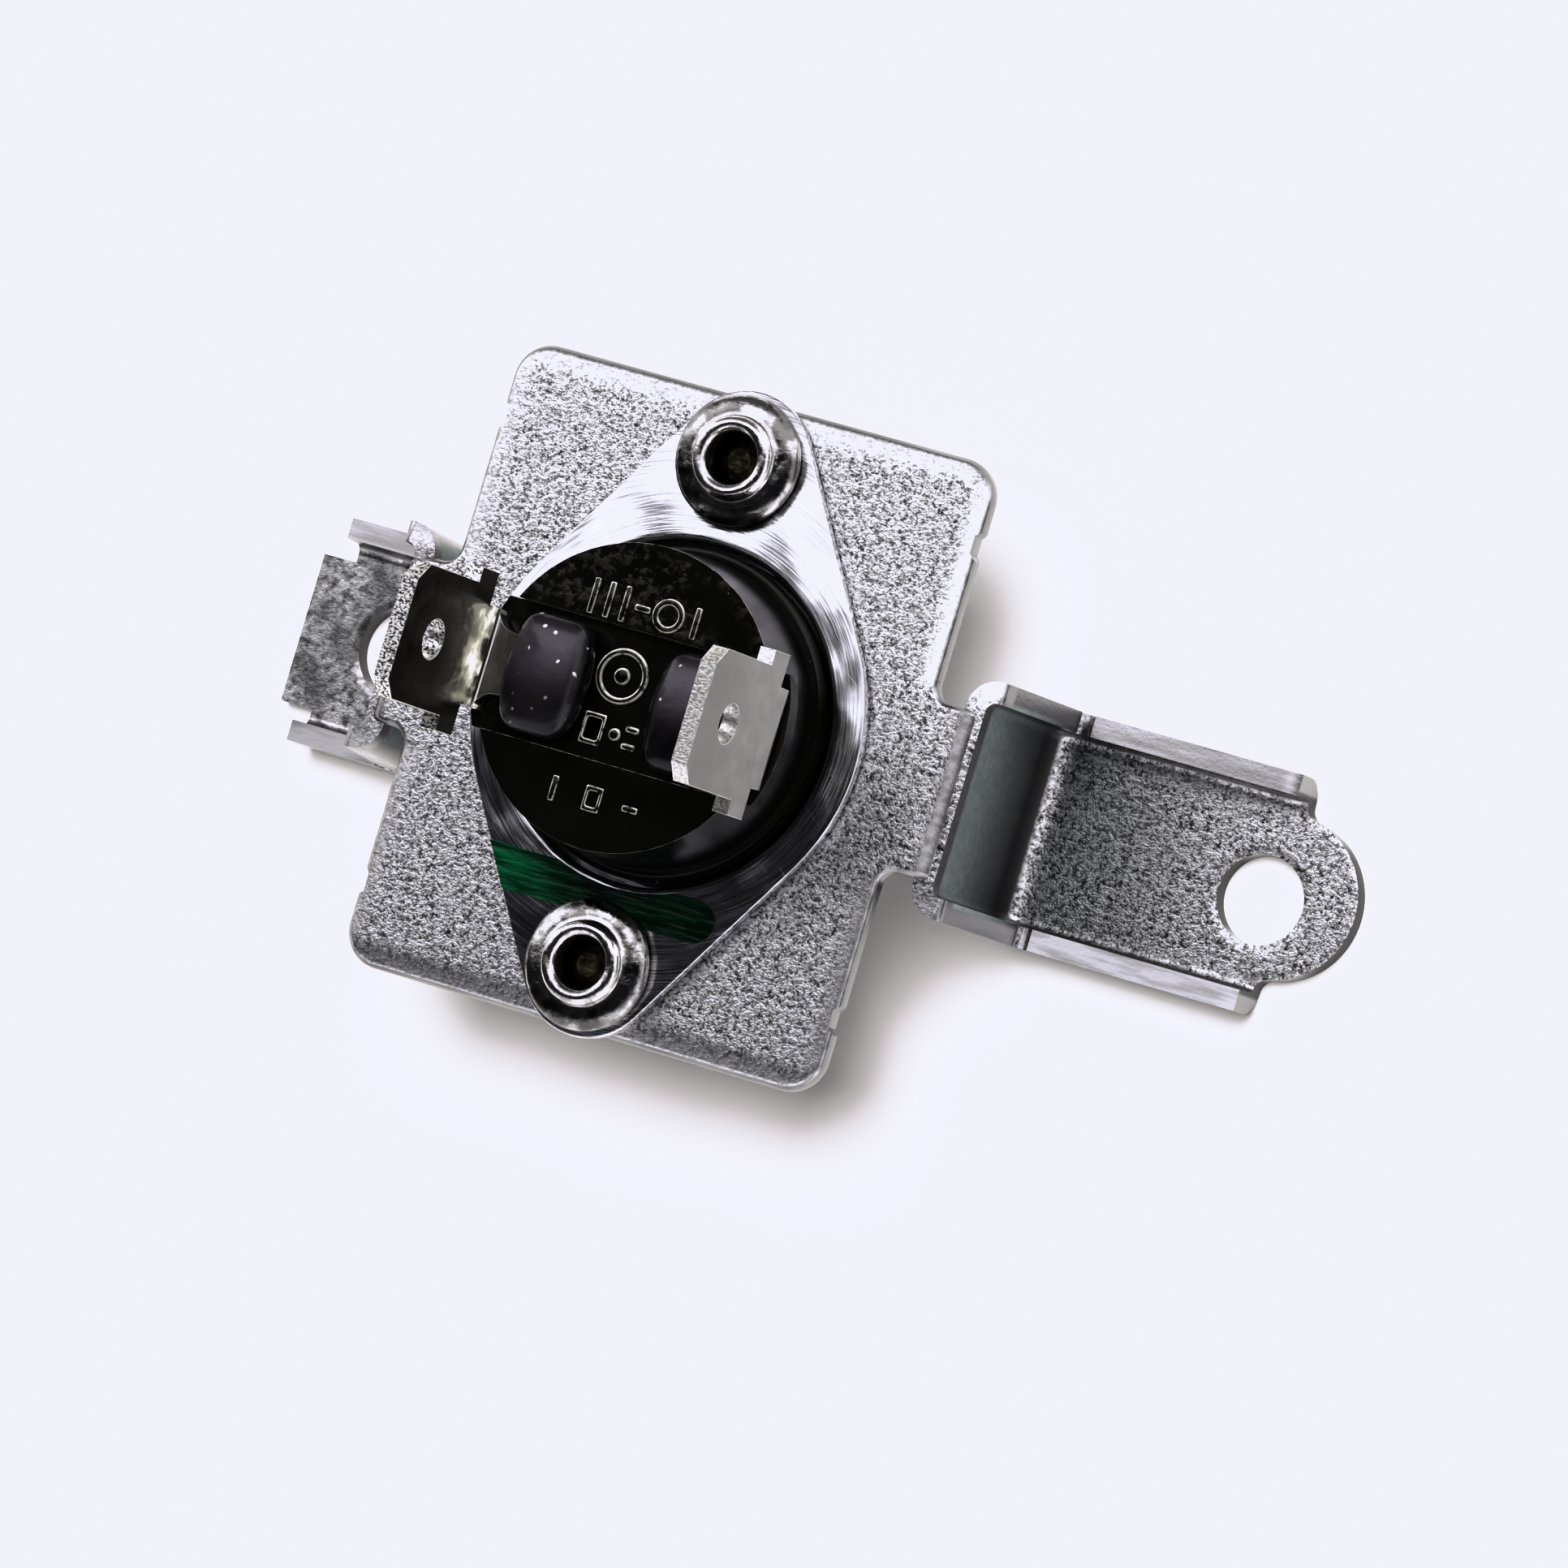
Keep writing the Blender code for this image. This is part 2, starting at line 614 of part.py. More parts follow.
def build_cap():
    """Drawn cup with a disc ledge, its rim rolled outwards into the oval mounting flange."""
    lip = CUP_WALL / 2.0
    profile = [(0.0, CUP_FLOOR), (DISC_LEDGE_RADIUS, CUP_FLOOR), (DISC_LEDGE_RADIUS, LEDGE_Z)]
    profile += [(CUP_BORE, LEDGE_Z)]
    profile += arc((CUP_BORE + lip, OVAL_TOP - lip), lip, 180.0, 0.0, COARSE_STEP)
    profile += arc((CUP_RADIUS - CUP_EDGE, CUP_EDGE), CUP_EDGE, 0.0, -90.0, COARSE_STEP)
    profile += [(0.0, 0.0)]
    cap = turned("flanged_cap", profile, "aluminium")
    middle = (CUP_BORE + CUP_RADIUS) / 2.0
    loops = [oval_outline(), circle((0.0, 0.0), middle, ROUND_STEPS)]
    for side in (1, -1):
        loops.append(circle((0.0, side * RIVET_SPACING / 2.0), RIVET_HOLE))
    flange = prism("oval_flange", loops, OVAL_TOP - OVAL_THICKNESS, OVAL_TOP)
    return boolean(cap, flange, "UNION")


def build_mounting_rivet(name, side):
    """Blind rivet: domed head with a raised ring, hollow shank and a spread tail."""
    seat = OVAL_TOP + SEAT_GAP
    top = seat + RIVET_HEAD_HEIGHT
    tail = PLATE_BOTTOM - SEAT_GAP
    end = tail - RIVET_TAIL_LENGTH
    crest = (RIVET_BORE + RIVET_RING) / 2.0
    ring = (RIVET_RING - RIVET_BORE) / 2.0
    rim_centre = (RIVET_HEAD - RIVET_HEAD_RIM, seat + RIVET_HEAD_RIM)
    profile = arc((crest, top - ring), ring, 180.0, 0.0, COARSE_STEP)
    profile += [(RIVET_RING, top - ring * 1.6)]
    profile += arc(rim_centre, RIVET_HEAD_RIM, 70.0, 0.0, COARSE_STEP)
    profile += [(RIVET_HEAD - RIVET_HEAD_RIM / 2.0, seat), (RIVET_SHANK, seat), (RIVET_SHANK, tail)]
    profile += arc((RIVET_TAIL - RIVET_TAIL_LENGTH / 2.0, (tail + end) / 2.0),
                   RIVET_TAIL_LENGTH / 2.0, 90.0, -90.0, COARSE_STEP)
    profile += [(RIVET_BORE, end)]
    rivet = turned(name, profile, "bright_rivet", SMALL_STEPS, closed=True)
    rivet.location.y = side * RIVET_SPACING / 2.0
    return rivet


def build_mandrel(name, side):
    """The pulled pin that stays in a blind rivet, broken off inside its bore."""
    top = OVAL_TOP + SEAT_GAP + RIVET_HEAD_HEIGHT - MANDREL_DROP
    end = PLATE_BOTTOM - SEAT_GAP - RIVET_TAIL_LENGTH - SEAT_GAP
    profile = [(0.0, top), (MANDREL_RADIUS * 0.6, top), (MANDREL_RADIUS, top - MANDREL_RADIUS * 0.4)]
    profile += [(MANDREL_RADIUS, end), (MANDREL_HEAD, end)]
    bottom = end - MANDREL_HEAD_LENGTH
    profile += [(MANDREL_HEAD, end - MANDREL_HEAD_LENGTH / 2.0), (MANDREL_HEAD * 0.6, bottom)]
    profile += [(0.0, bottom)]
    mandrel = turned(name, profile, "steel_mandrel", SMALL_STEPS)
    mandrel.location.y = side * RIVET_SPACING / 2.0
    return mandrel


def build_housing():
    """Moulded body: hollow, with a trench across the face that ends in small lips under the terminals."""
    shoulder = OVAL_TOP - SHOULDER_DROP
    root = BODY_RADIUS + BODY_DRAFT
    profile = [(0.0, FACE_Z)]
    profile += arc((BODY_RADIUS - BODY_EDGE, FACE_Z - BODY_EDGE), BODY_EDGE, 90.0, 0.0)
    profile += [(root, shoulder + SHOULDER_FILLET), (root + SHOULDER_FILLET, shoulder)]
    profile += [(BODY_BASE_RADIUS, shoulder), (BODY_BASE_RADIUS, BODY_BOTTOM)]
    profile += [(CAVITY_RADIUS, BODY_BOTTOM), (CAVITY_RADIUS, CEILING_Z), (0.0, CEILING_Z)]
    housing = turned("housing", profile, "phenolic")
    half = TRENCH_WIDTH / 2.0
    spread = math.degrees(math.asin(half / TRENCH_LIP_RADIUS))
    lips = arc((0.0, 0.0), TRENCH_LIP_RADIUS, -spread, spread)
    lips += arc((0.0, 0.0), TRENCH_LIP_RADIUS, 180.0 - spread, 180.0 + spread)
    boolean(housing, prism("trench_lips", [lips], TRENCH_Z - TRENCH_LIP, TRENCH_Z), "UNION")
    reach = TRENCH_LIP_RADIUS + OVERLAP
    trench = prism("trench", [[(-reach, -half), (reach, -half), (reach, half), (-reach, half)]],
                   TRENCH_Z, FACE_Z + OVERLAP)
    boolean(housing, trench, "DIFFERENCE")
    for side in (1, -1):
        hole = prism("post_hole", [circle((side * POST_X, 0.0), POST_HOLE)],
                     CEILING_Z - OVERLAP, TRENCH_Z + OVERLAP)
        boolean(housing, hole, "DIFFERENCE")
    return housing


def foot_plan():
    """Plan of a terminal foot: an eye round its rivet, a waist, then the full neck width."""
    neck = BLADE_NECK_WIDTH / 2.0
    waist = WAIST_WIDTH / 2.0
    bend = BLADE_FACE_X - BLADE_BEND
    middle = (POST_X + bend) / 2.0
    eye = arc((POST_X, 0.0), EYE_RADIUS, 180.0, 80.0)
    upper = eye + [(middle, waist * 0.93), (middle + (bend - middle) * 0.55, waist * 1.12)]
    upper += [(bend, neck), (bend + 2.0 * OVERLAP, neck + BLADE_BEND)]
    return upper + mirror_y(upper)[:-1]


def blade_plan():
    """Face view of a blade above its foot: neck, shoulders, blade and chamfered tip."""
    neck = BLADE_NECK_WIDTH / 2.0
    shoulder = SHOULDER_WIDTH / 2.0
    half = BLADE_WIDTH / 2.0
    shoulder_top = BLADE_NECK_LENGTH + SHOULDER_LENGTH
    right = [
        (neck, -BLADE_SHEET - 2.0 * OVERLAP),
        (neck, BLADE_NECK_LENGTH),
        (shoulder, BLADE_NECK_LENGTH),
        (shoulder, shoulder_top),
        (half, shoulder_top),
        (half, BLADE_HEIGHT - BLADE_CHAMFER),
        (half - BLADE_CHAMFER, BLADE_HEIGHT),
    ]
    return right + mirror_x(right)


def frame_loop(loop, margin):
    """A rectangle that surrounds an outline, so that the pair leaves only the outline uncut."""
    xs = [x for x, _ in loop]
    ys = [y for _, y in loop]
    low = (min(xs) - margin, min(ys) - margin)
    high = (max(xs) + margin, max(ys) + margin)
    return [low, (high[0], low[1]), high, (low[0], high[1])]


def build_terminal(name, side, lean):
    """One strip bent up into a blade, trimmed to the plan of its foot and the face of its blade."""
    start_x = POST_X - EYE_RADIUS - OVERLAP
    bend_x = BLADE_FACE_X - BLADE_BEND
    moves = [bend_x - start_x, (90.0 + lean, BLADE_BEND), BLADE_HEIGHT + OVERLAP]
    outline = sheet_side((start_x, FOOT_BOTTOM + BLADE_SHEET / 2.0), 0.0, moves, BLADE_SHEET)
    half = SHOULDER_WIDTH / 2.0 + OVERLAP
    margin = 3.0 * OVERLAP
    terminal = prism(name, [sided(outline, side)], -half, half, "XZ", "tin")
    plan = foot_plan()
    foot = prism(name + "_foot_trim", [sided(frame_loop(plan, margin), side), sided(plan, side)],
                 FOOT_BOTTOM - OVERLAP, FOOT_TOP + BLADE_NECK_LENGTH / 2.0)
    boolean(terminal, foot, "DIFFERENCE")
    plan = blade_plan()
    face = prism(name + "_blade_trim", [frame_loop(plan, margin), plan],
                 -BLADE_SHEET, BLADE_SHEET, "YZ")
    stand_blade_tool(face, side, lean)
    boolean(terminal, face, "DIFFERENCE")
    eye = prism(name + "_eye", [circle((side * POST_X, 0.0), POST_HOLE)],
                FOOT_BOTTOM - OVERLAP, FOOT_TOP + OVERLAP)
    boolean(terminal, eye, "DIFFERENCE")
    hole_z = BLADE_HEIGHT - BLADE_HOLE_FROM_TIP
    hole = prism(name + "_hole", [circle((0.0, hole_z), BLADE_HOLE_RADIUS)],
                 -2.0 * BLADE_SHEET, 2.0 * BLADE_SHEET, "YZ")
    stand_blade_tool(hole, side, lean)
    return boolean(terminal, hole, "DIFFERENCE")


def stand_blade_tool(tool, side, lean):
    """Stand a tool in the leaning plane of a blade, its zero at the foot's top."""
    tool.rotation_euler = (0.0, -side * math.radians(lean), 0.0)
    tool.location = (side * (BLADE_FACE_X + BLADE_SHEET / 2.0), 0.0, FOOT_TOP)


def build_post(name, side):
    """Rivet through terminal foot, body and inner strip."""
    seat = FOOT_TOP + SEAT_GAP
    tail = POST_BOTTOM + POST_TAIL_HEIGHT
    profile = [(0.0, POST_TOP), (POST_HEAD * 0.65, POST_TOP), (POST_HEAD, seat + POST_HEAD_HEIGHT / 2.0)]
    profile += [(POST_HEAD, seat), (POST_RADIUS, seat), (POST_RADIUS, tail), (POST_TAIL, tail)]
    profile += [(POST_TAIL, POST_BOTTOM), (0.0, POST_BOTTOM)]
    post = turned(name, profile, "brass", SMALL_STEPS)
    post.location.x = side * POST_X
    return post


def build_resin(name, side):
    """Rounded resin dome poured over a terminal foot and its rivet head."""
    low = TRENCH_Z + SEAT_GAP
    high = POST_TOP + SEAT_GAP + RESIN_COVER
    work = bmesh.new()
    bmesh.ops.create_cube(work, size=1.0)
    bmesh.ops.scale(work, vec=(RESIN_LENGTH, RESIN_WIDTH, high - low), verts=work.verts)
    mesh = bpy.data.meshes.new(name)
    work.to_mesh(mesh)
    work.free()
    dome = add_object(name, mesh, "resin")
    dome.location = (side * POST_X, 0.0, (low + high) / 2.0)
    rounding = dome.modifiers.new("rounding", "BEVEL")
    rounding.width = RESIN_EDGE
    rounding.segments = 5
    pocket_plan = [circle((0.0, 0.0), POST_HEAD + SEAT_GAP)]
    head = prism(name + "_head_pocket", pocket_plan, low - OVERLAP, POST_TOP + SEAT_GAP)
    head.location.x = side * POST_X
    eye = EYE_RADIUS + SEAT_GAP
    channel = arc((POST_X, 0.0), eye, 90.0, 270.0)
    channel += [(POST_X + RESIN_LENGTH, -eye), (POST_X + RESIN_LENGTH, eye)]
    foot = prism(name + "_foot_pocket", [sided(channel, side)], low - OVERLAP, FOOT_TOP + SEAT_GAP)
    boolean(head, foot, "UNION")
    return boolean(dome, head, "DIFFERENCE")


def stepped_strip(name, side, drop, ledge_end, material):
    """A strip under the ceiling, folded down and back as a ledge towards the middle."""
    wall_middle = STRIP_WALL_X - STRIP / 2.0
    turn = STRIP_BEND + STRIP / 2.0
    run = wall_middle - turn - STRIP_FOOT_END_X
    fall = drop - STRIP - 2.0 * STRIP_BEND
    back = wall_middle - turn - ledge_end
    moves = [run, (-90.0, STRIP_BEND), fall, (-90.0, STRIP_BEND), back]
    outline = sheet_side((STRIP_FOOT_END_X, STRIP_TOP - STRIP / 2.0), 0.0, moves, STRIP)
    half = STRIP_WIDTH / 2.0
    strip = prism(name, [sided(outline, side)], -half, half, "XZ", material)
    hole = prism(name + "_post_hole", [circle((side * POST_X, 0.0), POST_HOLE)],
                 STRIP_TOP - 2.0 * STRIP, STRIP_TOP + STRIP)
    return boolean(strip, hole, "DIFFERENCE")


def build_fixed_side():
    """The stepped strip with its silver button."""
    drop = STRIP_TOP - STRIP / 2.0 - (FIXED_LEDGE_BOTTOM + STRIP / 2.0)
    strip = stepped_strip("fixed_contact_plate", -1, drop, FIXED_LEDGE_END_X, "brass")
    hole = prism("fixed_contact_hole", [circle((-CONTACT_X, 0.0), CONTACT_SHANK + SHANK_CLEARANCE)],
                 FIXED_LEDGE_BOTTOM - STRIP / 2.0, FIXED_LEDGE_TOP + STRIP)
    boolean(strip, hole, "DIFFERENCE")
    seat = FIXED_LEDGE_TOP + SEAT_GAP
    profile = [(0.0, FIXED_CONTACT_TOP), (CONTACT_RADIUS * 0.7, FIXED_CONTACT_TOP)]
    profile += [(CONTACT_RADIUS, seat + CONTACT_HEIGHT / 2.0), (CONTACT_RADIUS, seat)]
    profile += [(CONTACT_SHANK, seat), (CONTACT_SHANK, FIXED_LEDGE_BOTTOM), (0.0, FIXED_LEDGE_BOTTOM)]
    button = turned("fixed_contact", profile, "silver", SMALL_STEPS)
    button.location.x = -CONTACT_X
    return strip, button


def build_moving_side():
    """The carrier, and the spring arm with its button, both placed on the arm's pivot line."""
    drop = STRIP_TOP - STRIP / 2.0 - (CARRIER_LEDGE_TOP - STRIP / 2.0)
    stepped_strip("arm_carrier", 1, drop, CARRIER_LEDGE_END_X, "brass")
    half = ARM_WIDTH / 2.0
    root = ARM_ROOT_X - ARM_PIVOT_X
    tip = ARM_TIP_X + ARM_PIVOT_X
    end = arc((-tip + half, 0.0), half, 90.0, 270.0)
    arm = prism("contact_arm", [end + [(root, -half), (root, half)]],
                -ARM_THICKNESS / 2.0, ARM_THICKNESS / 2.0, material="spring_bronze")
    pivot = Vector((ARM_PIVOT_X, 0.0, BLADE_BOTTOM + ARM_THICKNESS / 2.0))
    arm.location = pivot
    hole = prism("moving_contact_hole", [circle((-CONTACT_X, 0.0), CONTACT_SHANK + SHANK_CLEARANCE)],
                 BLADE_BOTTOM - ARM_THICKNESS, BLADE_TOP + ARM_THICKNESS)
    boolean(arm, hole, "DIFFERENCE")
    seat = BLADE_BOTTOM - SEAT_GAP
    profile = [(0.0, BLADE_TOP), (CONTACT_SHANK, BLADE_TOP), (CONTACT_SHANK, seat)]
    profile += [(CONTACT_RADIUS, seat), (CONTACT_RADIUS, MOVING_CONTACT_BOTTOM + CONTACT_HEIGHT / 2.0)]
    profile += [(CONTACT_RADIUS * 0.7, MOVING_CONTACT_BOTTOM), (0.0, MOVING_CONTACT_BOTTOM)]
    local = [(x, z - pivot.z) for x, z in profile]
    button = turned("moving_contact", local, "silver", SMALL_STEPS)
    button.location = (-CONTACT_X, 0.0, pivot.z)
    return arm, button


def build_guide_plate():
    """Retainer that holds the disc's rim down and guides the striker pin."""
    boss = GUIDE_TOP + GUIDE_BOSS_HEIGHT
    bore = PIN_RADIUS + SLIDE_CLEARANCE
    rim_inner = DISC_RADIUS + DISC_RIM_CLEARANCE
    profile = [(bore, boss), (GUIDE_BOSS_RADIUS, boss), (GUIDE_BOSS_RADIUS, GUIDE_TOP)]
    profile += [(GUIDE_RADIUS, GUIDE_TOP), (GUIDE_RADIUS, DISC_RIM_Z), (rim_inner, DISC_RIM_Z)]
    profile += [(rim_inner, GUIDE_LIP_Z), (GUIDE_LIP_INNER, GUIDE_LIP_Z)]
    profile += [(GUIDE_LIP_INNER, GUIDE_BOTTOM), (bore, GUIDE_BOTTOM)]
    return turned("guide_plate", profile, "moulded_guide", closed=True)


def build_disc():
    """Dished snap disc, its middle low when cold."""
    steps = 5
    curve = [(DISC_RADIUS * index / steps, DISC_DISH * (index / steps) ** 2) for index in range(steps + 1)]
    low = DISC_RIM_Z - DISC_DISH
    upper = [(x, low + z + DISC_THICKNESS) for x, z in curve]
    lower = [(x, low + z) for x, z in reversed(curve)]
    return turned("bimetal_disc", upper + lower, "bimetal")


def build_pin():
    """Ceramic striker pin, rounded at both ends, its origin on its own axis."""
    length = PIN_TOP - PIN_BOTTOM
    side = PIN_RADIUS - PIN_EDGE
    profile = [(0.0, length)] + arc((side, length - PIN_EDGE), PIN_EDGE, 90.0, 0.0, COARSE_STEP)
    profile += arc((side, PIN_EDGE), PIN_EDGE, 0.0, -90.0, COARSE_STEP) + [(0.0, 0.0)]
    pin = turned("striker_pin", profile, "ceramic", SMALL_STEPS)
    pin.location.z = PIN_BOTTOM
    return pin


def main():
    """Build every piece of the thermostat."""
    clear_scene()
    build_bracket()
    build_cap()
    for name, side in (("upper", 1), ("lower", -1)):
        build_mounting_rivet("rivet_" + name, side)
        build_mandrel("mandrel_" + name, side)
    build_housing()
    for name, side, lean in (("left", -1, LEFT_LEAN), ("right", 1, RIGHT_LEAN)):
        build_terminal("terminal_" + name, side, lean)
        build_post("terminal_rivet_" + name, side)
        build_resin("resin_seal_" + name, side)
    build_fixed_side()
    build_moving_side()
    build_guide_plate()
    build_disc()
    build_pin()


main()
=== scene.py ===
"""Looks of the bracket-mounted bimetal thermostat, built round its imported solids.

Metres, +Z up towards the blades, +X along the long arm, +Y towards the upper rivet.
"""

import math

import bmesh
import bpy
from bpy.props import FloatProperty, FloatVectorProperty, IntProperty, PointerProperty
from mathutils import Matrix, Vector


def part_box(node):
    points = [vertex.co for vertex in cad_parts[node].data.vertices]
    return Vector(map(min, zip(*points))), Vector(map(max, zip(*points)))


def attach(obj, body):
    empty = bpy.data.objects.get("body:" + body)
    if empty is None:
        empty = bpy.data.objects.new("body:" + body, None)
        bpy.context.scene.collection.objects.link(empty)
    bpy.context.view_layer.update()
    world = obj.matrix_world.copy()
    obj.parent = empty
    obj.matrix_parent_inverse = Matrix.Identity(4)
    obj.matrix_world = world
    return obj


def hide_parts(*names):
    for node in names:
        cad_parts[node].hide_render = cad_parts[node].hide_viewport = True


bl_info = {
    "name": "Bimetal thermostat looks",
    "version": (1, 0, 0),
    "blender": (4, 5, 0),
    "location": "3D View > Sidebar > Thermostat",
    "description": "Detailed pieces and finishes for a bracket-mounted bimetal thermostat",
    "category": "Object",
}

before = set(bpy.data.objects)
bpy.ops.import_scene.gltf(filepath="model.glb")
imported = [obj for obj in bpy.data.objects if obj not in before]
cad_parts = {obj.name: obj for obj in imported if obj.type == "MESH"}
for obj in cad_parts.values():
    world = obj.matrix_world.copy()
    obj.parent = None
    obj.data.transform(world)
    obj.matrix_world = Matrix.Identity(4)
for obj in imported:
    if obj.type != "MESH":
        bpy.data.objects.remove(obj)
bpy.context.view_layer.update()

PHOTO_PIXELS = 1932
SENSOR = 36.0

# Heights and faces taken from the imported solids
PLATE_LOW, PLATE_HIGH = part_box("bracket")
FLANGE_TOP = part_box("flanged_cap")[1].z
PLATE_TOP = PLATE_HIGH.z
FOOT_UNDER = PLATE_LOW.z
FACE_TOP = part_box("housing")[1].z
BODY_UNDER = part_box("housing")[0].z
RIVET_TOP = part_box("rivet_upper")[1].z
RIVET_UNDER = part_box("rivet_upper")[0].z
MANDREL_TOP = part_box("mandrel_upper")[1].z
MANDREL_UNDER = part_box("mandrel_upper")[0].z
TERMINAL_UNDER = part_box("terminal_left")[0].z
RESIN_LOW, RESIN_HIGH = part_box("resin_seal_right")

# Bracket
SHEET = 0.0010
BRACKET_SHIFT = -0.00028
PLATE_WIDTH = 0.0246
PLATE_HEIGHT = 0.0299
PLATE_CORNER = 0.0018
NOTCH_Y = 0.0112
NOTCH_LENGTH = 0.0014
NOTCH_DEPTH = 0.0003
NECK_WIDTH = 0.0080
NECK_LENGTH = 0.0008
TOP_BEND = 0.0006
FOOT_BEND = 0.0012
FLANGE_HEIGHT = 0.0018
WALL_FLANGE_TOP = 0.0008
FLANGE_FOLD = 0.0005
FLANGE_TOP_DROP = 0.0006
FLANGE_CORNER = 0.0004
CORNER_BITE = 0.0005
EAR_FILLET = 0.0006
LONG_WIDTH = 0.0112
LONG_FLANGE = 0.0128
LONG_EAR_BACK = 0.00015
LONG_EAR_RADIUS = 0.00383
LONG_HOLE_INSET = 0.0008
LONG_HOLE_RADIUS = 0.0021
SHORT_WIDTH = 0.0109
SHORT_SWAY = -0.0005
SHORT_FLANGE = 0.0070
SHORT_TAB = 0.0017
SHORT_TAB_WIDTH = 0.0072
SHORT_HOLE_FROM_WALL = 0.0034
SHORT_HOLE_RADIUS = 0.0022
HOLE_ASIDE = -0.00035
PLATE_BORE = 0.00875
RIVET_HOLE = 0.0018
RIVET_Y = 0.0120

PLATE_UNDER = PLATE_TOP - SHEET
ARM_TOP = FOOT_UNDER + SHEET
NECK_END_X = PLATE_WIDTH / 2.0 + NECK_LENGTH
WALL_FACE_X = NECK_END_X + TOP_BEND + SHEET
FOLD_X = WALL_FACE_X + BRACKET_SHIFT
LONG_FLANGE_END_X = WALL_FACE_X + LONG_FLANGE
LONG_EAR_X = LONG_FLANGE_END_X - LONG_EAR_BACK
SHORT_FLANGE_END_X = WALL_FACE_X + SHORT_FLANGE
SHORT_TAB_END_X = SHORT_FLANGE_END_X + SHORT_TAB
ARM_REACH_X = LONG_EAR_X + LONG_EAR_RADIUS + 0.001
CHANNEL_TOP = PLATE_TOP - FLANGE_TOP_DROP

# Cup and its oval flange
CUP_BORE = 0.0080
CUP_WALL = 0.0005
CUP_FLOOR = 0.0005
CUP_EDGE = 0.0005
DISC_LEDGE_RADIUS = 0.0059
LEDGE_Z = 0.0009
OVAL_THICKNESS = 0.0005
OVAL_RADIUS = 0.0097
OVAL_END_RADIUS = 0.00331
CUP_ROLL = 0.00036
FLANGE_EDGE = 0.00007

# Green stripe
STRIPE_LOW_Y = -0.00974
STRIPE_HIGH_Y = -0.00775
STRIPE_START_X = -0.0080
STRIPE_END_X = 0.0043
STRIPE_BORE = 0.0083

# Rivets
RIVET_SHANK = 0.0016
RIVET_HEAD = 0.00306
RIVET_RING = 0.00198
RIVET_BORE = 0.0012
RIVET_TAIL_LENGTH = 0.0016
RIVET_TAIL = 0.0023
RIVET_RING_HEIGHT = 0.00056
RIVET_GROOVE = 0.0001
RIVET_EDGE = 0.0002
RIVET_EDGE_HEIGHT = 0.00022
SEAT_GAP = 0.00025
MANDREL_RADIUS = 0.00092
MANDREL_HEAD = 0.0015
MANDREL_HEAD_LENGTH = 0.0011

# Moulded body
FACE_RADIUS = 0.0071
BODY_ROOT = 0.00735
BODY_BASE = 0.00775
CAVITY_RADIUS = 0.0062
SHOULDER_Z = FLANGE_TOP - 0.0001
TRENCH_WIDTH = 0.0062
TRENCH_Z = FACE_TOP - 0.0008
CEILING_Z = TRENCH_Z - 0.0011
LIP_RADIUS = 0.0078
LIP_THICKNESS = 0.0009
BODY_FILLET = 0.00035
BODY_EDGE = 0.00016
MARK_STROKE = 0.00032
MARK_SINK = 0.00002
ROUND_MARK = (-0.00066, 0.00093)
SMALL_MARKS_Y = -0.0017
UPPER_MARKS_Y = 0.0041
LOWER_MARKS_Y = -0.0048
POST_X = 0.0037
POST_HOLE = 0.0008

# Terminals
BLADE_SHEET = 0.0008
BLADE_WIDTH = 0.0063
BLADE_HEIGHT = 0.00815
BLADE_CHAMFER = 0.0008
BLADE_HOLE_RADIUS = 0.00095
BLADE_HOLE_FROM_TIP = 0.00295
SHOULDER_WIDTH = 0.0077
SHOULDER_LENGTH = 0.0016
BLADE_NECK_WIDTH = 0.0047
BLADE_NECK_LENGTH = 0.0010
BLADE_FACE_X = 0.0070
BLADE_BEND = 0.00025
EYE_RADIUS = 0.0014
WAIST_WIDTH = 0.0030
LEFT_LEAN = -4.6
RIGHT_LEAN = 2.6
FOOT_TOP = TERMINAL_UNDER + BLADE_SHEET

# Resin
RESIN_EDGE = 0.0009
RESIN_CROWN = 0.30
RESIN_NARROWING = 0.26

# How far cutting tools reach past what they cut
REACH = 0.0010


class ThermostatSizes(bpy.types.PropertyGroup):
    """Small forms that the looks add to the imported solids."""

    cut_edge: FloatProperty(
        name="Cut edge", description="Rounding of the sheared sheet edges",
        default=0.00010, min=0.0, precision=5, unit="LENGTH")
    rolled_edge: FloatProperty(
        name="Rolled edge", description="Rounding round the plate and its necks",
        default=0.00034, min=0.0, precision=5, unit="LENGTH")
    blade_edge: FloatProperty(
        name="Blade edge", description="Rounding of the blades' stamped edges",
        default=0.00015, min=0.0, precision=5, unit="LENGTH")
    relief: FloatProperty(
        name="Relief", description="Height of the plain raised marks on the body",
        default=0.00022, min=0.0, precision=5, unit="LENGTH")
    paint_film: FloatProperty(
        name="Paint film", description="Thickness of the green stripe on the flange",
        default=0.00003, min=0.0, precision=5, unit="LENGTH")
    round_steps: IntProperty(
        name="Round steps", description="Faces round a turned piece", default=120, min=24)


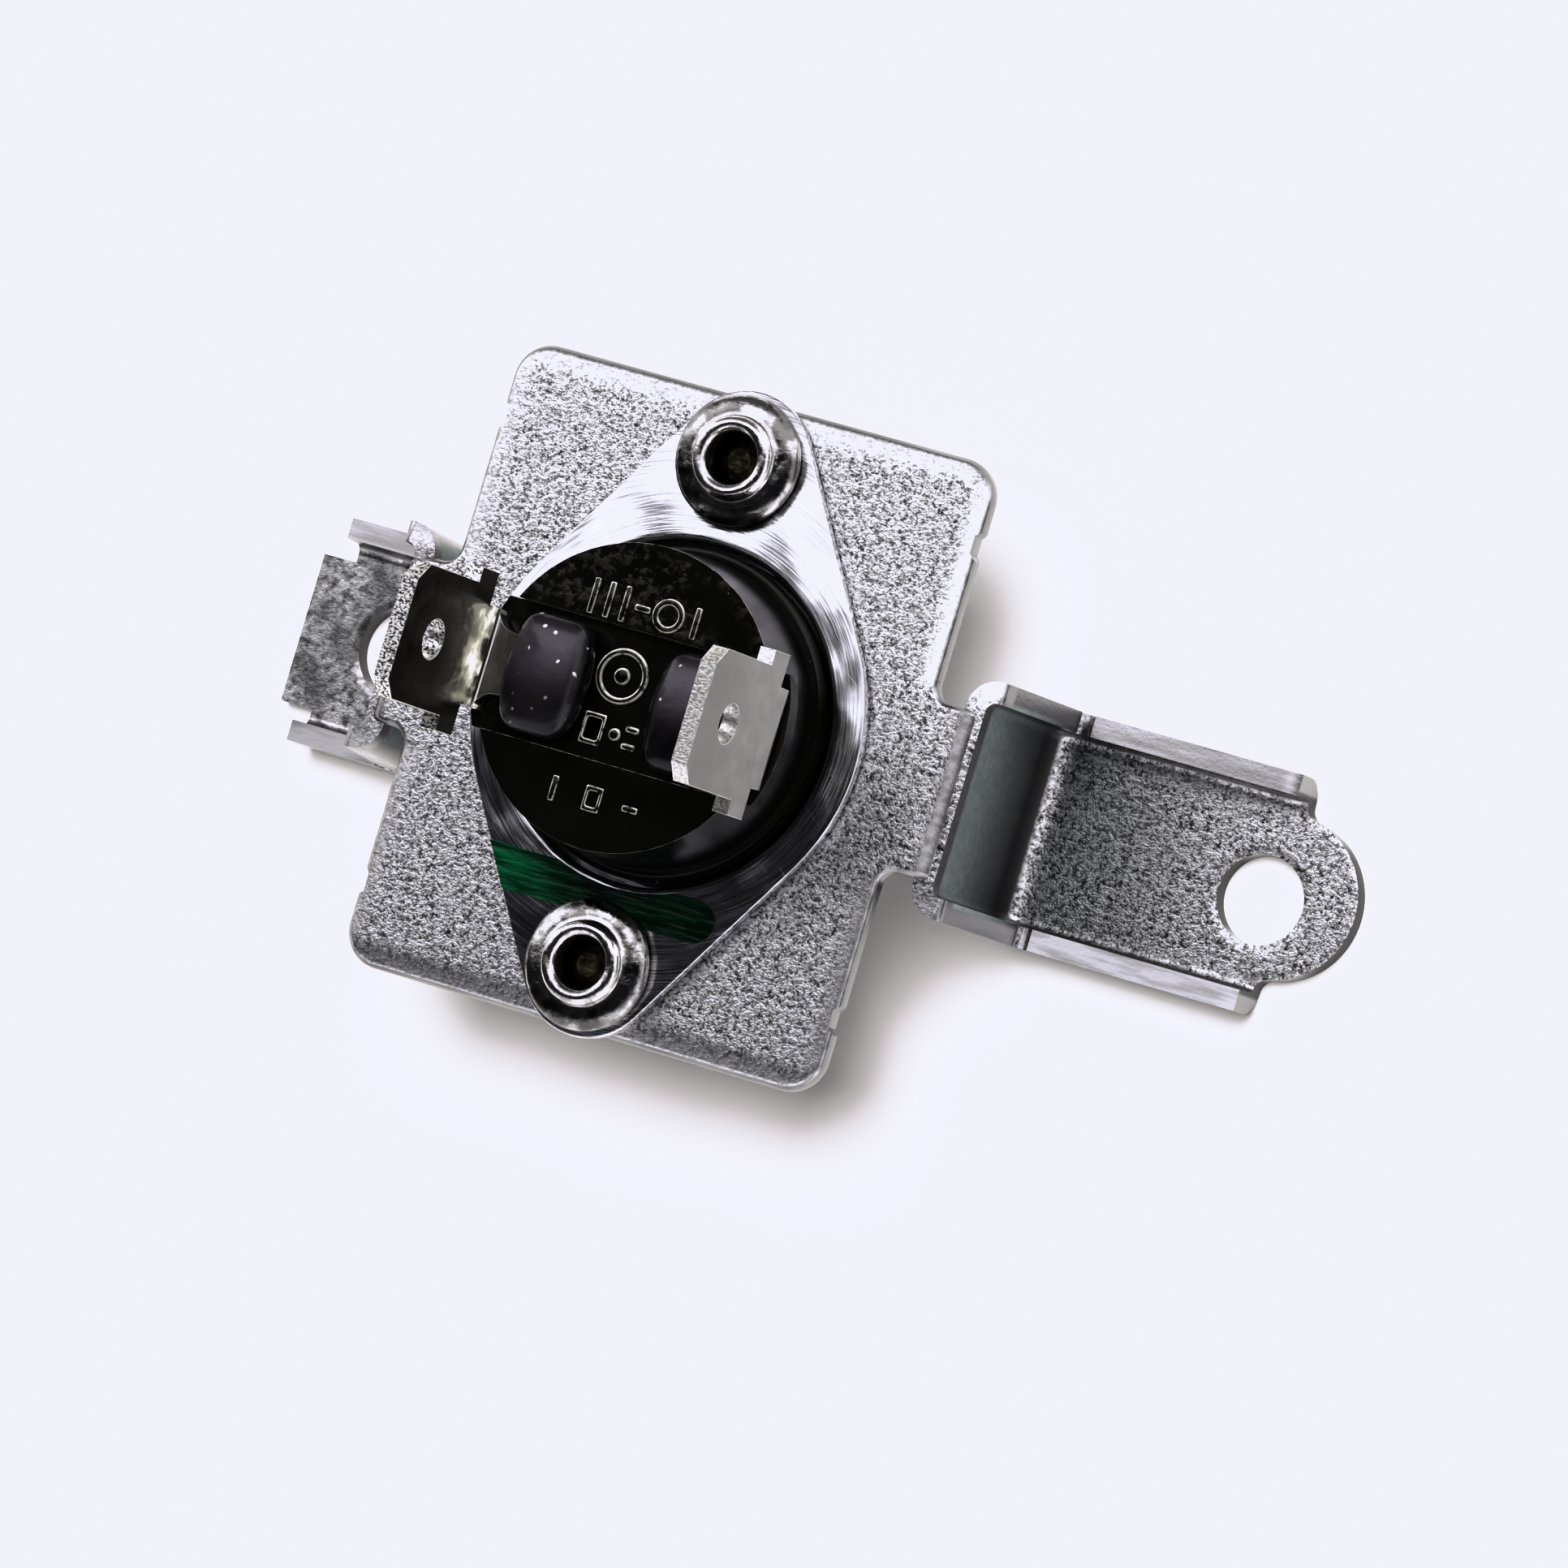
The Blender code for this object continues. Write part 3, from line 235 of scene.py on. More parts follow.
class ThermostatColours(bpy.types.PropertyGroup):
    """Base colours of the finishes."""

    zinc: FloatVectorProperty(
        name="Zinc", description="Zinc-coated sheet", subtype="COLOR", default=(0.93, 0.93, 0.94))
    aluminium: FloatVectorProperty(
        name="Aluminium", description="Drawn cup and flange", subtype="COLOR", default=(0.90, 0.90, 0.93))
    rivet: FloatVectorProperty(
        name="Rivet", description="Bright rivet heads", subtype="COLOR", default=(0.86, 0.85, 0.83))
    mandrel: FloatVectorProperty(
        name="Mandrel", description="Broken pin inside a rivet", subtype="COLOR",
        default=(0.055, 0.048, 0.032))
    body: FloatVectorProperty(
        name="Body", description="Black moulded body", subtype="COLOR", default=(0.0022, 0.0022, 0.0018))
    blade: FloatVectorProperty(
        name="Blade", description="Tinned blades", subtype="COLOR", default=(0.60, 0.60, 0.575))
    resin: FloatVectorProperty(
        name="Resin", description="Potting resin", subtype="COLOR", default=(0.021, 0.019, 0.0235))
    stripe: FloatVectorProperty(
        name="Stripe", description="Green paint", subtype="COLOR", default=(0.0, 0.030, 0.014))
    floor: FloatVectorProperty(
        name="Floor", description="Plain pale floor", subtype="COLOR", default=(0.90, 0.88, 0.875))


# Outlines

def arc(centre, radius, start, end, step=5.0):
    """Points along an arc, angles in degrees, both ends included."""
    steps = max(2, math.ceil(abs(end - start) / step))
    turns = [math.radians(start + (end - start) * index / steps) for index in range(steps + 1)]
    return [(centre[0] + radius * math.cos(a), centre[1] + radius * math.sin(a)) for a in turns]


def circle(centre, radius, steps=72):
    """A closed ring of points."""
    turns = [2.0 * math.pi * index / steps for index in range(steps)]
    return [(centre[0] + radius * math.cos(a), centre[1] + radius * math.sin(a)) for a in turns]


def mirror_x(points):
    """The outline on the other side of the YZ plane."""
    return [(-x, y) for x, y in reversed(points)]


def mirror_y(points):
    """The outline turned over the X axis."""
    return [(x, -y) for x, y in reversed(points)]


def sided(points, side):
    """The outline as given on the +X side, mirrored on the -X side."""
    return list(points) if side > 0 else mirror_x(points)


def on_bracket(points, side=1):
    """The outline on one side of the bracket, whose middle lies a little off the cup's."""
    return [(x + BRACKET_SHIFT, y) for x, y in sided(points, side)]


def bent_sheet(start, heading, moves, thickness):
    """Edge view of a bent sheet: runs and turns along the middle of its thickness.

    A run is a length; a turn is (degrees, inside radius), positive to the left.
    """
    x, y = start
    left, right = [], []

    def station():
        angle = math.radians(heading)
        side = (-math.sin(angle) * thickness / 2.0, math.cos(angle) * thickness / 2.0)
        left.append((x + side[0], y + side[1]))
        right.append((x - side[0], y - side[1]))

    station()
    for move in moves:
        if isinstance(move, tuple):
            degrees, inside = move
            radius = inside + thickness / 2.0
            sign = math.copysign(1.0, degrees)
            angle = math.radians(heading)
            centre = (x - math.sin(angle) * radius * sign, y + math.cos(angle) * radius * sign)
            steps = max(2, math.ceil(abs(degrees) / 6.0))
            for _ in range(steps):
                heading += degrees / steps
                angle = math.radians(heading)
                x = centre[0] + math.sin(angle) * radius * sign
                y = centre[1] - math.cos(angle) * radius * sign
                station()
        else:
            angle = math.radians(heading)
            x += math.cos(angle) * move
            y += math.sin(angle) * move
            station()
    return left + right[::-1]


# Modelling

def deselect():
    """Object mode with nothing selected."""
    if bpy.context.object and bpy.context.object.mode != "OBJECT":
        bpy.ops.object.mode_set(mode="OBJECT")
    bpy.ops.object.select_all(action="DESELECT")


def pick(item):
    """Only this object selected and active, in object mode."""
    deselect()
    item.select_set(True)
    bpy.context.view_layer.objects.active = item
    return item


def draw_line(name, points):
    """A new mesh drawn vertex by vertex through the points, left in edit mode."""
    deselect()
    bpy.ops.mesh.primitive_plane_add(size=SHEET)
    item = bpy.context.active_object
    item.name = name
    item.data.name = name
    bpy.ops.object.mode_set(mode="EDIT")
    bpy.ops.mesh.select_mode(type="VERT")
    bpy.ops.mesh.select_all(action="SELECT")
    bpy.ops.mesh.merge(type="CENTER")
    bpy.ops.transform.translate(value=points[0])
    for first, second in zip(points, points[1:]):
        step = Vector(second) - Vector(first)
        bpy.ops.mesh.extrude_region_move(TRANSFORM_OT_translate={"value": step})
    bpy.ops.mesh.select_all(action="SELECT")
    return item


def tidy_mesh():
    """Merge doubles and turn the faces outwards, in edit mode, then leave it."""
    bpy.ops.mesh.select_all(action="SELECT")
    bpy.ops.mesh.remove_doubles(threshold=1e-7)
    bpy.ops.mesh.normals_make_consistent(inside=False)
    bpy.ops.object.mode_set(mode="OBJECT")


def lathe(name, profile, steps=None):
    """A profile of (radius, height) spun about the Z axis."""
    item = draw_line(name, [(x, 0.0, z) for x, z in profile])
    steps = steps or bpy.context.scene.thermostat_sizes.round_steps
    bpy.ops.mesh.spin(steps=steps, angle=2.0 * math.pi, center=(0.0, 0.0, 0.0), axis=(0.0, 0.0, 1.0))
    tidy_mesh()
    return item


def slab(name, outline, low, high, plane="XY"):
    """A flat outline raised from low to high across its plane."""
    place = {
        "XY": lambda x, y: (x, y, low),
        "XZ": lambda x, y: (x, low, y),
        "YZ": lambda x, y: (low, x, y),
    }[plane]
    rise = {"XY": (0, 0, high - low), "XZ": (0, high - low, 0), "YZ": (high - low, 0, 0)}[plane]
    item = draw_line(name, [place(x, y) for x, y in outline])
    bpy.ops.mesh.edge_face_add()
    bpy.ops.mesh.extrude_region_move(TRANSFORM_OT_translate={"value": rise})
    tidy_mesh()
    return item


def round_runs(item, paths, plane, width, segments):
    """Bevel the rims of a slab that follow the given stretches of its outline."""
    runs = set()
    for path in paths:
        marks = [(round(x, 6), round(y, 6)) for x, y in path]
        runs.update(frozenset(pair) for pair in zip(marks, marks[1:]))
    axes = ["XYZ".index(letter) for letter in plane]
    across = 3 - sum(axes)

    def on_run(edge):
        ends = [vertex.co for vertex in edge.verts]
        marks = frozenset((round(co[axes[0]], 6), round(co[axes[1]], 6)) for co in ends)
        return abs(ends[0][across] - ends[1][across]) < 1e-6 and marks in runs

    edit_edges(item, on_run)
    bpy.ops.mesh.bevel(offset=width, segments=segments, affect="EDGES", clamp_overlap=False)
    bpy.ops.object.mode_set(mode="OBJECT")


def edit_edges(item, test):
    """Edit mode with the edges that pass the test selected."""
    pick(item)
    bpy.ops.object.mode_set(mode="EDIT")
    bpy.ops.mesh.select_mode(type="EDGE")
    bpy.ops.mesh.select_all(action="DESELECT")
    work = bmesh.from_edit_mesh(item.data)
    for edge in work.edges:
        edge.select_set(test(edge))
    bmesh.update_edit_mesh(item.data)


def apply_modifier(item, kind, **settings):
    """Add a modifier with these settings and apply it."""
    pick(item)
    modifier = item.modifiers.new(kind.lower(), kind)
    for name, value in settings.items():
        setattr(modifier, name, value)
    bpy.ops.object.modifier_apply(modifier=modifier.name)
    return item


def combine(item, other, operation):
    """Join with, cut by or keep only what is shared with another mesh, which is used up."""
    apply_modifier(item, "BOOLEAN", operation=operation, solver="EXACT", object=other)
    bpy.data.objects.remove(other, do_unlink=True)
    return item


def soften(item, width, segments=3, angle=40.0):
    """Round every edge that is sharper than the angle."""
    pick(item)
    bpy.ops.object.mode_set(mode="EDIT")
    bpy.ops.mesh.select_all(action="SELECT")
    bpy.ops.mesh.remove_doubles(threshold=2e-6)
    bpy.ops.mesh.dissolve_limited(angle_limit=math.radians(0.4))
    bpy.ops.object.mode_set(mode="OBJECT")
    return apply_modifier(
        item, "BEVEL", width=width, segments=segments, limit_method="ANGLE",
        angle_limit=math.radians(angle), use_clamp_overlap=True, miter_outer="MITER_ARC")


def move(item, offset):
    """Shift a mesh and keep its object at the origin."""
    pick(item)
    item.location = offset
    bpy.ops.object.transform_apply(location=True, rotation=False, scale=False)
    return item


def duplicate(item, name):
    """A copy with its own mesh."""
    pick(item)
    bpy.ops.object.duplicate(linked=False)
    copy = bpy.context.active_object
    copy.name = name
    copy.data.name = name
    return copy


def dress(item, finish, slot, *nodes, body="root", angle=35.0):
    """Smooth a finished piece, give it its finish, hang it under its body and hide the imported parts it
    stands for.
    """
    pick(item)
    bpy.ops.object.transform_apply(location=True, rotation=True, scale=True)
    bpy.ops.object.shade_smooth_by_angle(angle=math.radians(angle))
    apply_modifier(item, "WEIGHTED_NORMAL", keep_sharp=True, weight=60)
    item.data.materials.clear()
    item.data.materials.append(finish)
    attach(item, body)
    if nodes:
        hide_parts(*nodes)
    return item


# Shader maths

class Signal:
    """A socket that takes part in Python expressions."""

    def __init__(self, nodes, socket):
        self.nodes = nodes
        self.socket = socket

    def math(self, operation, *values):
        """A Math node on this and other values."""
        inputs = dict(enumerate((self,) + values))
        return self.nodes.node("ShaderNodeMath", {"operation": operation}, inputs)

    def __add__(self, other):
        return self.math("ADD", other)

    __radd__ = __add__

    def __mul__(self, other):
        return self.math("MULTIPLY", other)

    __rmul__ = __mul__

    def __sub__(self, other):
        return self.math("SUBTRACT", other)

    def __rsub__(self, other):
        return self.nodes.node("ShaderNodeMath", {"operation": "SUBTRACT"}, {0: other, 1: self})

    def __pow__(self, other):
        return self.math("POWER", other)

    def between(self, low, high):
        """0 below low, 1 above high, smooth in between."""
        inputs = {"Value": self, "From Min": low, "From Max": high}
        return self.nodes.node("ShaderNodeMapRange", {"interpolation_type": "SMOOTHSTEP"}, inputs)


class Nodes:
    """Makes the nodes of one tree."""

    def __init__(self, tree):
        self.tree = tree

    def node(self, kind, settings=None, inputs=None, output=0):
        """A node with its settings made first, then its inputs; gives one of its outputs."""
        made = self.tree.nodes.new(kind)
        for name, value in (settings or {}).items():
            setattr(made, name, value)
        for name, value in (inputs or {}).items():
            self.feed(made.inputs[name], value)
        return Signal(self, made.outputs[output])

    def feed(self, socket, value):
        """Link a signal to a socket or set its value."""
        if isinstance(value, Signal):
            self.tree.links.new(value.socket, socket)
        elif hasattr(value, "__len__") and len(value) == 3 and len(socket.default_value) == 4:
            socket.default_value = (*value, 1.0)
        else:
            socket.default_value = value

    def place(self):
        """Object coordinates, in metres."""
        return self.node("ShaderNodeTexCoord", output="Object")

    def axes(self, vector):
        """The three numbers of a vector."""
        split = self.node("ShaderNodeSeparateXYZ", None, {0: vector}).socket.node
        return [Signal(self, socket) for socket in split.outputs]

    def joined(self, x=0.0, y=0.0, z=0.0):
        """A vector made of three numbers."""
        return self.node("ShaderNodeCombineXYZ", None, {0: x, 1: y, 2: z})

    def vector(self, operation, *values, output="Vector"):
        """A Vector Math node."""
        return self.node("ShaderNodeVectorMath", {"operation": operation}, dict(enumerate(values)), output)

    def scaled(self, vector, sizes):
        """A vector times a size on each axis."""
        return self.vector("MULTIPLY", vector, sizes)

    def times(self, vector, amount):
        """A vector times one number."""
        settings = {"operation": "SCALE"}
        return self.node("ShaderNodeVectorMath", settings, {0: vector, "Scale": amount}, "Vector")

    def pushed(self, normal, push):
        """A normal turned towards a push."""
        return self.vector("NORMALIZE", self.vector("ADD", normal, push))

    def noise(self, vector, scale, detail=2.0, roughness=0.5, output="Fac"):
        """Cloudy noise."""
        inputs = {"Vector": vector, "Scale": scale, "Detail": detail, "Roughness": roughness}
        return self.node("ShaderNodeTexNoise", None, inputs, output)

    def cells(self, vector, scale, output="Color"):
        """Random cells."""
        return self.node("ShaderNodeTexVoronoi", None, {"Vector": vector, "Scale": scale}, output)

    def mix(self, factor, first, second):
        """Two colours mixed."""
        return self.node("ShaderNodeMix", {"data_type": "RGBA"}, {0: factor, 6: first, 7: second}, 2)

    def bump(self, height, distance, strength=1.0, normal=None):
        """A bumped normal."""
        inputs = {"Height": height, "Distance": distance, "Strength": strength}
        if normal is not None:
            inputs["Normal"] = normal
        return self.node("ShaderNodeBump", None, inputs, "Normal")


class Finish(Nodes):
    """A material and the nodes that make it."""

    def __init__(self, name, metallic=0.0):
        self.material = bpy.data.materials.new(name)
        self.material.use_nodes = True
        super().__init__(self.material.node_tree)
        self.shader = self.tree.nodes["Principled BSDF"]
        self.shader.inputs["Metallic"].default_value = metallic

    def surface_normal(self):
        """The smooth normal of the surface."""
        return self.node("ShaderNodeNewGeometry", output="Normal")

    def dished(self, amount):
        """The surface normal, leaning outwards with its distance from the middle, as pressed sheet does."""
        return self.pushed(self.surface_normal(), self.scaled(self.place(), (amount, amount, 0.0)))

    def set(self, **inputs):
        """Feed the shader's own sockets, given with underscores for spaces."""
        for name, value in inputs.items():
            self.feed(self.shader.inputs[name.replace("_", " ")], value)
        return self.material


def colour_of(name):
    """A base colour from the panel."""
    return tuple(getattr(bpy.context.scene.thermostat_colours, name))


def shade(colour, factor):
    """A colour made lighter or darker."""
    return tuple(min(1.0, channel * factor) for channel in colour)


# Where along the bracket its finish changes, from one look to the next
LOWER_LEG_Z = (-0.0045, -0.0035)
SHADED_LEG_Z = (-0.004, 0.0)
SIDE_FLANGE_Y = (0.0047, 0.0049)
SHADED_PLATE_Y = (-0.013, 0.012)
BRIGHT_RIM_Y = (-0.007, 0.002)
SHORT_END_X = (-0.0165, -0.0125)
LONG_END_X = (0.0185, 0.0270)
EAR_X = (0.0262, 0.0275)
EAR_RIM = (0.00345, 0.0038)


def ring_lean(finish, place, centre, low, high, amount):
    """Normals leaning away from a point between two radii, or towards it where the amount is negative."""
    away = finish.scaled(finish.vector("SUBTRACT", place, (*centre, 0.0)), (1.0, 1.0, 0.0))
    distance = finish.vector("LENGTH", away, output="Value")
    return finish.times(finish.vector("NORMALIZE", away), distance.between(low, high) * amount)


def rim_lean(finish, x, y, plate):
    """Where the plate's rim is, and normals leaning outwards along it, where pressing has rounded it."""
    wide, long = PLATE_WIDTH / 2.0, PLATE_HEIGHT / 2.0
    middle = x - BRACKET_SHIFT
    beside_neck = y.math("ABSOLUTE").between(NECK_WIDTH / 2.0, NECK_WIDTH / 2.0 + 0.0010)
    near_side = middle.math("ABSOLUTE").between(wide - 0.0014, wide - 0.0003)
    near_x = near_side * middle.math("SIGN") * beside_neck
    near_y = y.math("ABSOLUTE").between(long - 0.0015, long - 0.0003) * y.math("SIGN")
    upper = y.between(*BRIGHT_RIM_Y)
    size_x = near_x.math("ABSOLUTE")
    lean_x = (near_x - size_x) * plate * 0.11
    lean = finish.joined(lean_x, (near_y * 0.24 + (near_x + size_x) * upper * 0.08) * plate)
    near = size_x.math("MAXIMUM", near_y.math("ABSOLUTE"))
    return near * plate, lean


def zinc_finish():
    """Zinc-coated sheet: fine sparkling grain on the flats, drawn smooth round the bends; painted shade on
    the arms, inner walls and lower plate, and painted highlights on the flange rims.
    """
    finish = Finish("zinc_sheet", 1.0)
    place = finish.place()
    base = colour_of("zinc")
    x, y, z = finish.axes(place)
    along, _, up = finish.axes(finish.vector("ABSOLUTE", finish.surface_normal()))
    plate = z.between(PLATE_UNDER - 0.0006, PLATE_UNDER - 0.0003)
    above_floor = z.between(ARM_TOP + 0.0003, ARM_TOP + 0.0006)
    low = 1.0 - z.between(*LOWER_LEG_Z)
    flange = y.math("ABSOLUTE").between(*SIDE_FLANGE_Y)
    wall = along.between(0.40, 0.75) * (1.0 - plate) * (1.0 - flange)
    rim = above_floor * (1.0 - plate) * (1.0 - along.between(0.2, 0.4))
    flat = (up.between(0.84, 0.985) * (1.0 - low) + up.between(0.66, 0.86) * low) * (1.0 - rim)
    grain = finish.noise(place, 5200.0, 3.0, 0.6)
    fine = finish.noise(place, 11000.0, 1.0)
    coarse = finish.noise(place, 650.0, 3.0).between(0.3, 0.7)
    broad = finish.noise(place, 2300.0, 2.0)
    outer_end = 1.0 - x.between(*SHORT_END_X)
    calm = 1.0 - outer_end * 0.65
    pit = (grain * 0.55 + fine * 0.25 + broad * 0.30 - 0.55) * calm + 0.5
    sparkle = finish.mix(pit.between(0.38, 0.58), shade(base, 0.06), shade(base, 1.9))
    blurred = finish.mix(coarse * broad.between(0.3, 0.6), shade(base, 0.12), shade(base, 1.2))
    clouded = finish.mix(coarse * 0.3 * (1.0 - outer_end), sparkle, shade(base, 0.75))
    clouded = finish.mix(outer_end * 0.65, clouded, blurred)
    smear = finish.noise(finish.scaled(place, (300.0, 2600.0, 2600.0)), 1.0, 3.0).between(0.2, 0.8)
    roll = up.between(0.35, 0.60)
    drawn = finish.mix(smear, shade(base, 0.20), shade(base, 0.42))
    bent = finish.mix(roll, shade(base, 0.30), drawn)
    front = 1.0 - y.between(-0.001, 0.001)
    top = up.between(0.85, 0.97)
    streaked = smear * 0.9 + 0.2
    # Painted highlight: the rims of the lower flanges, and the top faces of all rims, are coloured lighter
    # over their streaks.
    rim_streaks_and_painted_light = finish.mix((front * 0.85 + top * 0.45) * streaked, shade(base, 0.20), shade(base, 0.62))
    folded = finish.mix(rim, bent, rim_streaks_and_painted_light)
    # Painted shade and reflection: the inner walls get a darker grey-teal tone over their streaks, going
    # darker still towards their bottom.
    climb = z.between(ARM_TOP + 0.0006, PLATE_UNDER - 0.0010)
    wall_streaks_and_painted_tone = finish.mix(smear * 0.5 + broad * 0.4, (0.27, 0.31, 0.305), (0.46, 0.50, 0.50))
    inside = finish.mix(climb, shade(base, 0.10), wall_streaks_and_painted_tone)
    walled = finish.mix(wall, folded, inside)
    near_rim, lean = rim_lean(finish, x, y, plate)
    smoothed = finish.mix(near_rim * (pit * 0.5 + 0.35), clouded, shade(base, 0.85))
    lit = finish.mix(flat, walled, smoothed)
    # Painted shade: the arms' flats darker from the fold along the long arm, less towards its ear, and at
    # the short arm's outer end; the plate's flats darker towards its lower side.
    inner_end = x.between(FOLD_X - 0.0006, FOLD_X + 0.0018) * (1.0 - x.between(*LONG_END_X) * 0.85)
    arm_painted_shade = (1.0 - z.between(*SHADED_LEG_Z)) * (inner_end * 0.45 + outer_end * 0.22)
    front_shade = (1.0 - y.between(*SHADED_PLATE_Y)) * plate * 0.10
    colour = finish.mix((arm_painted_shade + front_shade) * flat, lit, (0.0, 0.0, 0.0))
    rough = flat * 0.10 + fine * 0.10 + wall * 0.22 + 0.20
    long_hole = (LONG_EAR_X - LONG_HOLE_INSET + BRACKET_SHIFT, HOLE_ASIDE)
    short_hole = (BRACKET_SHIFT - WALL_FACE_X - SHORT_HOLE_FROM_WALL, HOLE_ASIDE)
    for centre, radius in ((long_hole, LONG_HOLE_RADIUS), (short_hole, SHORT_HOLE_RADIUS)):
        inward = ring_lean(finish, place, centre, radius + 0.0005, radius + 0.0001, -0.30)
        lean = finish.vector("ADD", lean, inward)
    ear = ring_lean(finish, place, (LONG_EAR_X + BRACKET_SHIFT, 0.0), *EAR_RIM, 0.30)
    gate = x.between(*EAR_X) * (1.0 - plate)
    rims = finish.joined(y=rim * (top * (1.0 - front) * 0.10 - front * 0.5))
    lean = finish.vector("ADD", finish.vector("ADD", lean, finish.times(ear, gate)), rims)
    leaning = finish.pushed(finish.dished(2.5), lean)
    height = pit * (flat * 0.85 + 0.15) * (1.0 - near_rim * 0.6)
    normal = finish.bump(height, 0.00008, 1.0, leaning)
    return finish.set(Base_Color=colour, Roughness=rough, Normal=normal)


def aluminium_finish():
    """Drawn aluminium with turning lines and stray scratches."""
    finish = Finish("spun_aluminium", 1.0)
    place = finish.place()
    base = colour_of("aluminium")
    x, y, z = finish.axes(place)
    radius = (x * x + y * y) ** 0.5
    turn = y.math("ARCTAN2", x)
    polar = finish.joined(radius * 11000.0, turn * 4.0, z * 9000.0)
    rings = finish.noise(polar, 1.0, 3.0, 0.5)
    wobble = finish.noise(finish.scaled(polar, (0.03, 0.55, 0.03)), 1.0, 2.0).between(0.35, 0.65)
    sector = finish.joined((wobble - 0.5) * 0.15, (wobble - 0.5) * 0.20)
    turned = {"Vector": place, "Angle": 0.6}
    crossed = finish.node("ShaderNodeVectorRotate", {"rotation_type": "Z_AXIS"}, turned)
    scratch = finish.noise(finish.scaled(crossed, (350.0, 9000.0, 900.0)), 1.0, 2.0).between(0.68, 0.76)
    cloud = finish.noise(place, 500.0, 4.0).between(0.3, 0.7)
    tone = finish.mix(cloud, shade(base, 0.55), shade(base, 0.95))
    lined = finish.mix(rings.between(0.33, 0.60), shade(base, 0.38), tone)
    colour = finish.mix(scratch * 0.2, lined, shade(base, 1.2))
    rough = rings * 0.16 + 0.12 + scratch * 0.15
    normal = finish.bump(rings, 0.000014, 0.8, finish.pushed(finish.dished(14.0), sector))
    return finish.set(Base_Color=colour, Roughness=rough, Normal=normal)


def rivet_finish():
    """Bright plating with handling marks; the dome outside the ring is painted darker in patches, painted
    shade for its dark reflections.
    """
    finish = Finish("bright_rivet", 1.0)
    place = finish.place()
    base = colour_of("rivet")
    marks = finish.noise(place, 1500.0, 6.0, 0.65).between(0.44, 0.62)
    dents = finish.noise(place, 800.0, 2.0)
    x, y, _ = finish.axes(place)
    away = y.math("ABSOLUTE") - RIVET_Y
    radius = (x * x + away * away) ** 0.5
    # Painted shade: the dome outside the ring is darkened in patches where it shows dark reflections.
    dome = radius.between(RIVET_RING + 0.00005, RIVET_RING + 0.00025)
    dome_shade_patches = finish.noise(place, 900.0, 3.0).between(0.42, 0.56)
    plated = finish.mix(dome * (dome_shade_patches * 0.5 + 0.4), shade(base, 0.85), shade(base, 0.10))
    colour = finish.mix(marks * 0.6, plated, shade(base, 0.25))
    rough = marks * 0.16 + 0.08
    normal = finish.bump(dents + marks * 0.10, 0.00006, 0.8)
    return finish.set(Base_Color=colour, Roughness=rough, Normal=normal)


def mandrel_finish():
    """Dull broken steel."""
    finish = Finish("mandrel_steel", 1.0)
    place = finish.place()
    base = colour_of("mandrel")
    torn = finish.noise(place, 2400.0, 5.0)
    colour = finish.mix(torn.between(0.35, 0.7), shade(base, 0.5), shade(base, 1.9))
    normal = finish.bump(torn, 0.00012, 0.8)
    return finish.set(Base_Color=colour, Roughness=torn * 0.3 + 0.3, Normal=normal)


def body_finish():
    """Glossy black moulding: flow marks, haze on its upper segment, painted highlights on its sloped edges
    and a little dust.
    """
    finish = Finish("black_phenolic")
    place = finish.place()
    base = colour_of("body")
    flow = finish.noise(place, 420.0, 4.0)
    speck = 1.0 - finish.cells(place, 2600.0, "Distance").between(0.03, 0.09)
    rare = finish.axes(finish.cells(place, 2600.0))[0].between(0.955, 0.965)
    dust = speck * rare
    aside, ahead, up = finish.axes(finish.surface_normal())
    # Painted highlight: patchy near-white colour on the sloped edges at and above the trench floor,
    # stronger on slopes facing up and left.
    lit_side = (ahead - aside * 0.5).between(-0.15, 0.45) * 0.6 + 0.4
    corner = up.between(0.20, 0.45) * (1.0 - up.between(0.93, 0.985)) * lit_side
    _, y, z = finish.axes(place)
    lumps = finish.noise(place, 2400.0, 4.0, 0.6)
    raised = z.between(TRENCH_Z + 0.0004, FACE_TOP - 0.0001) * up.between(0.5, 0.9)
    segment = y.between(TRENCH_WIDTH / 2.0, TRENCH_WIDTH / 2.0 + 0.0003) * raised
    haze = lumps.between(0.48, 0.66) * segment * finish.noise(place, 320.0, 1.0).between(0.34, 0.52)
    tone = finish.mix(flow.between(0.3, 0.7), base, shade(base, 2.2))
    hazed = finish.mix(haze * 0.5, tone, (0.055, 0.054, 0.042))
    painted_edge_highlight = corner * z.between(TRENCH_Z - 0.0002, TRENCH_Z) * lumps.between(0.32, 0.56)
    with_painted_highlight = finish.mix(painted_edge_highlight, hazed, (1.0, 1.0, 0.93))
    colour = finish.mix(dust, with_painted_highlight, (0.35, 0.34, 0.30))
    rough = flow * 0.10 + 0.07 + dust * 0.3 + (1.0 - up.math("ABSOLUTE").between(0.05, 0.5)) * 0.08
    fine = finish.noise(place, 5200.0, 2.0)
    normal = finish.bump(flow * 0.7 + fine * 0.12 + haze * 0.6, 0.00003, 0.5)
    finish.shader.inputs["Specular IOR Level"].default_value = 0.30
    return finish.set(Base_Color=colour, Roughness=rough, Normal=normal)


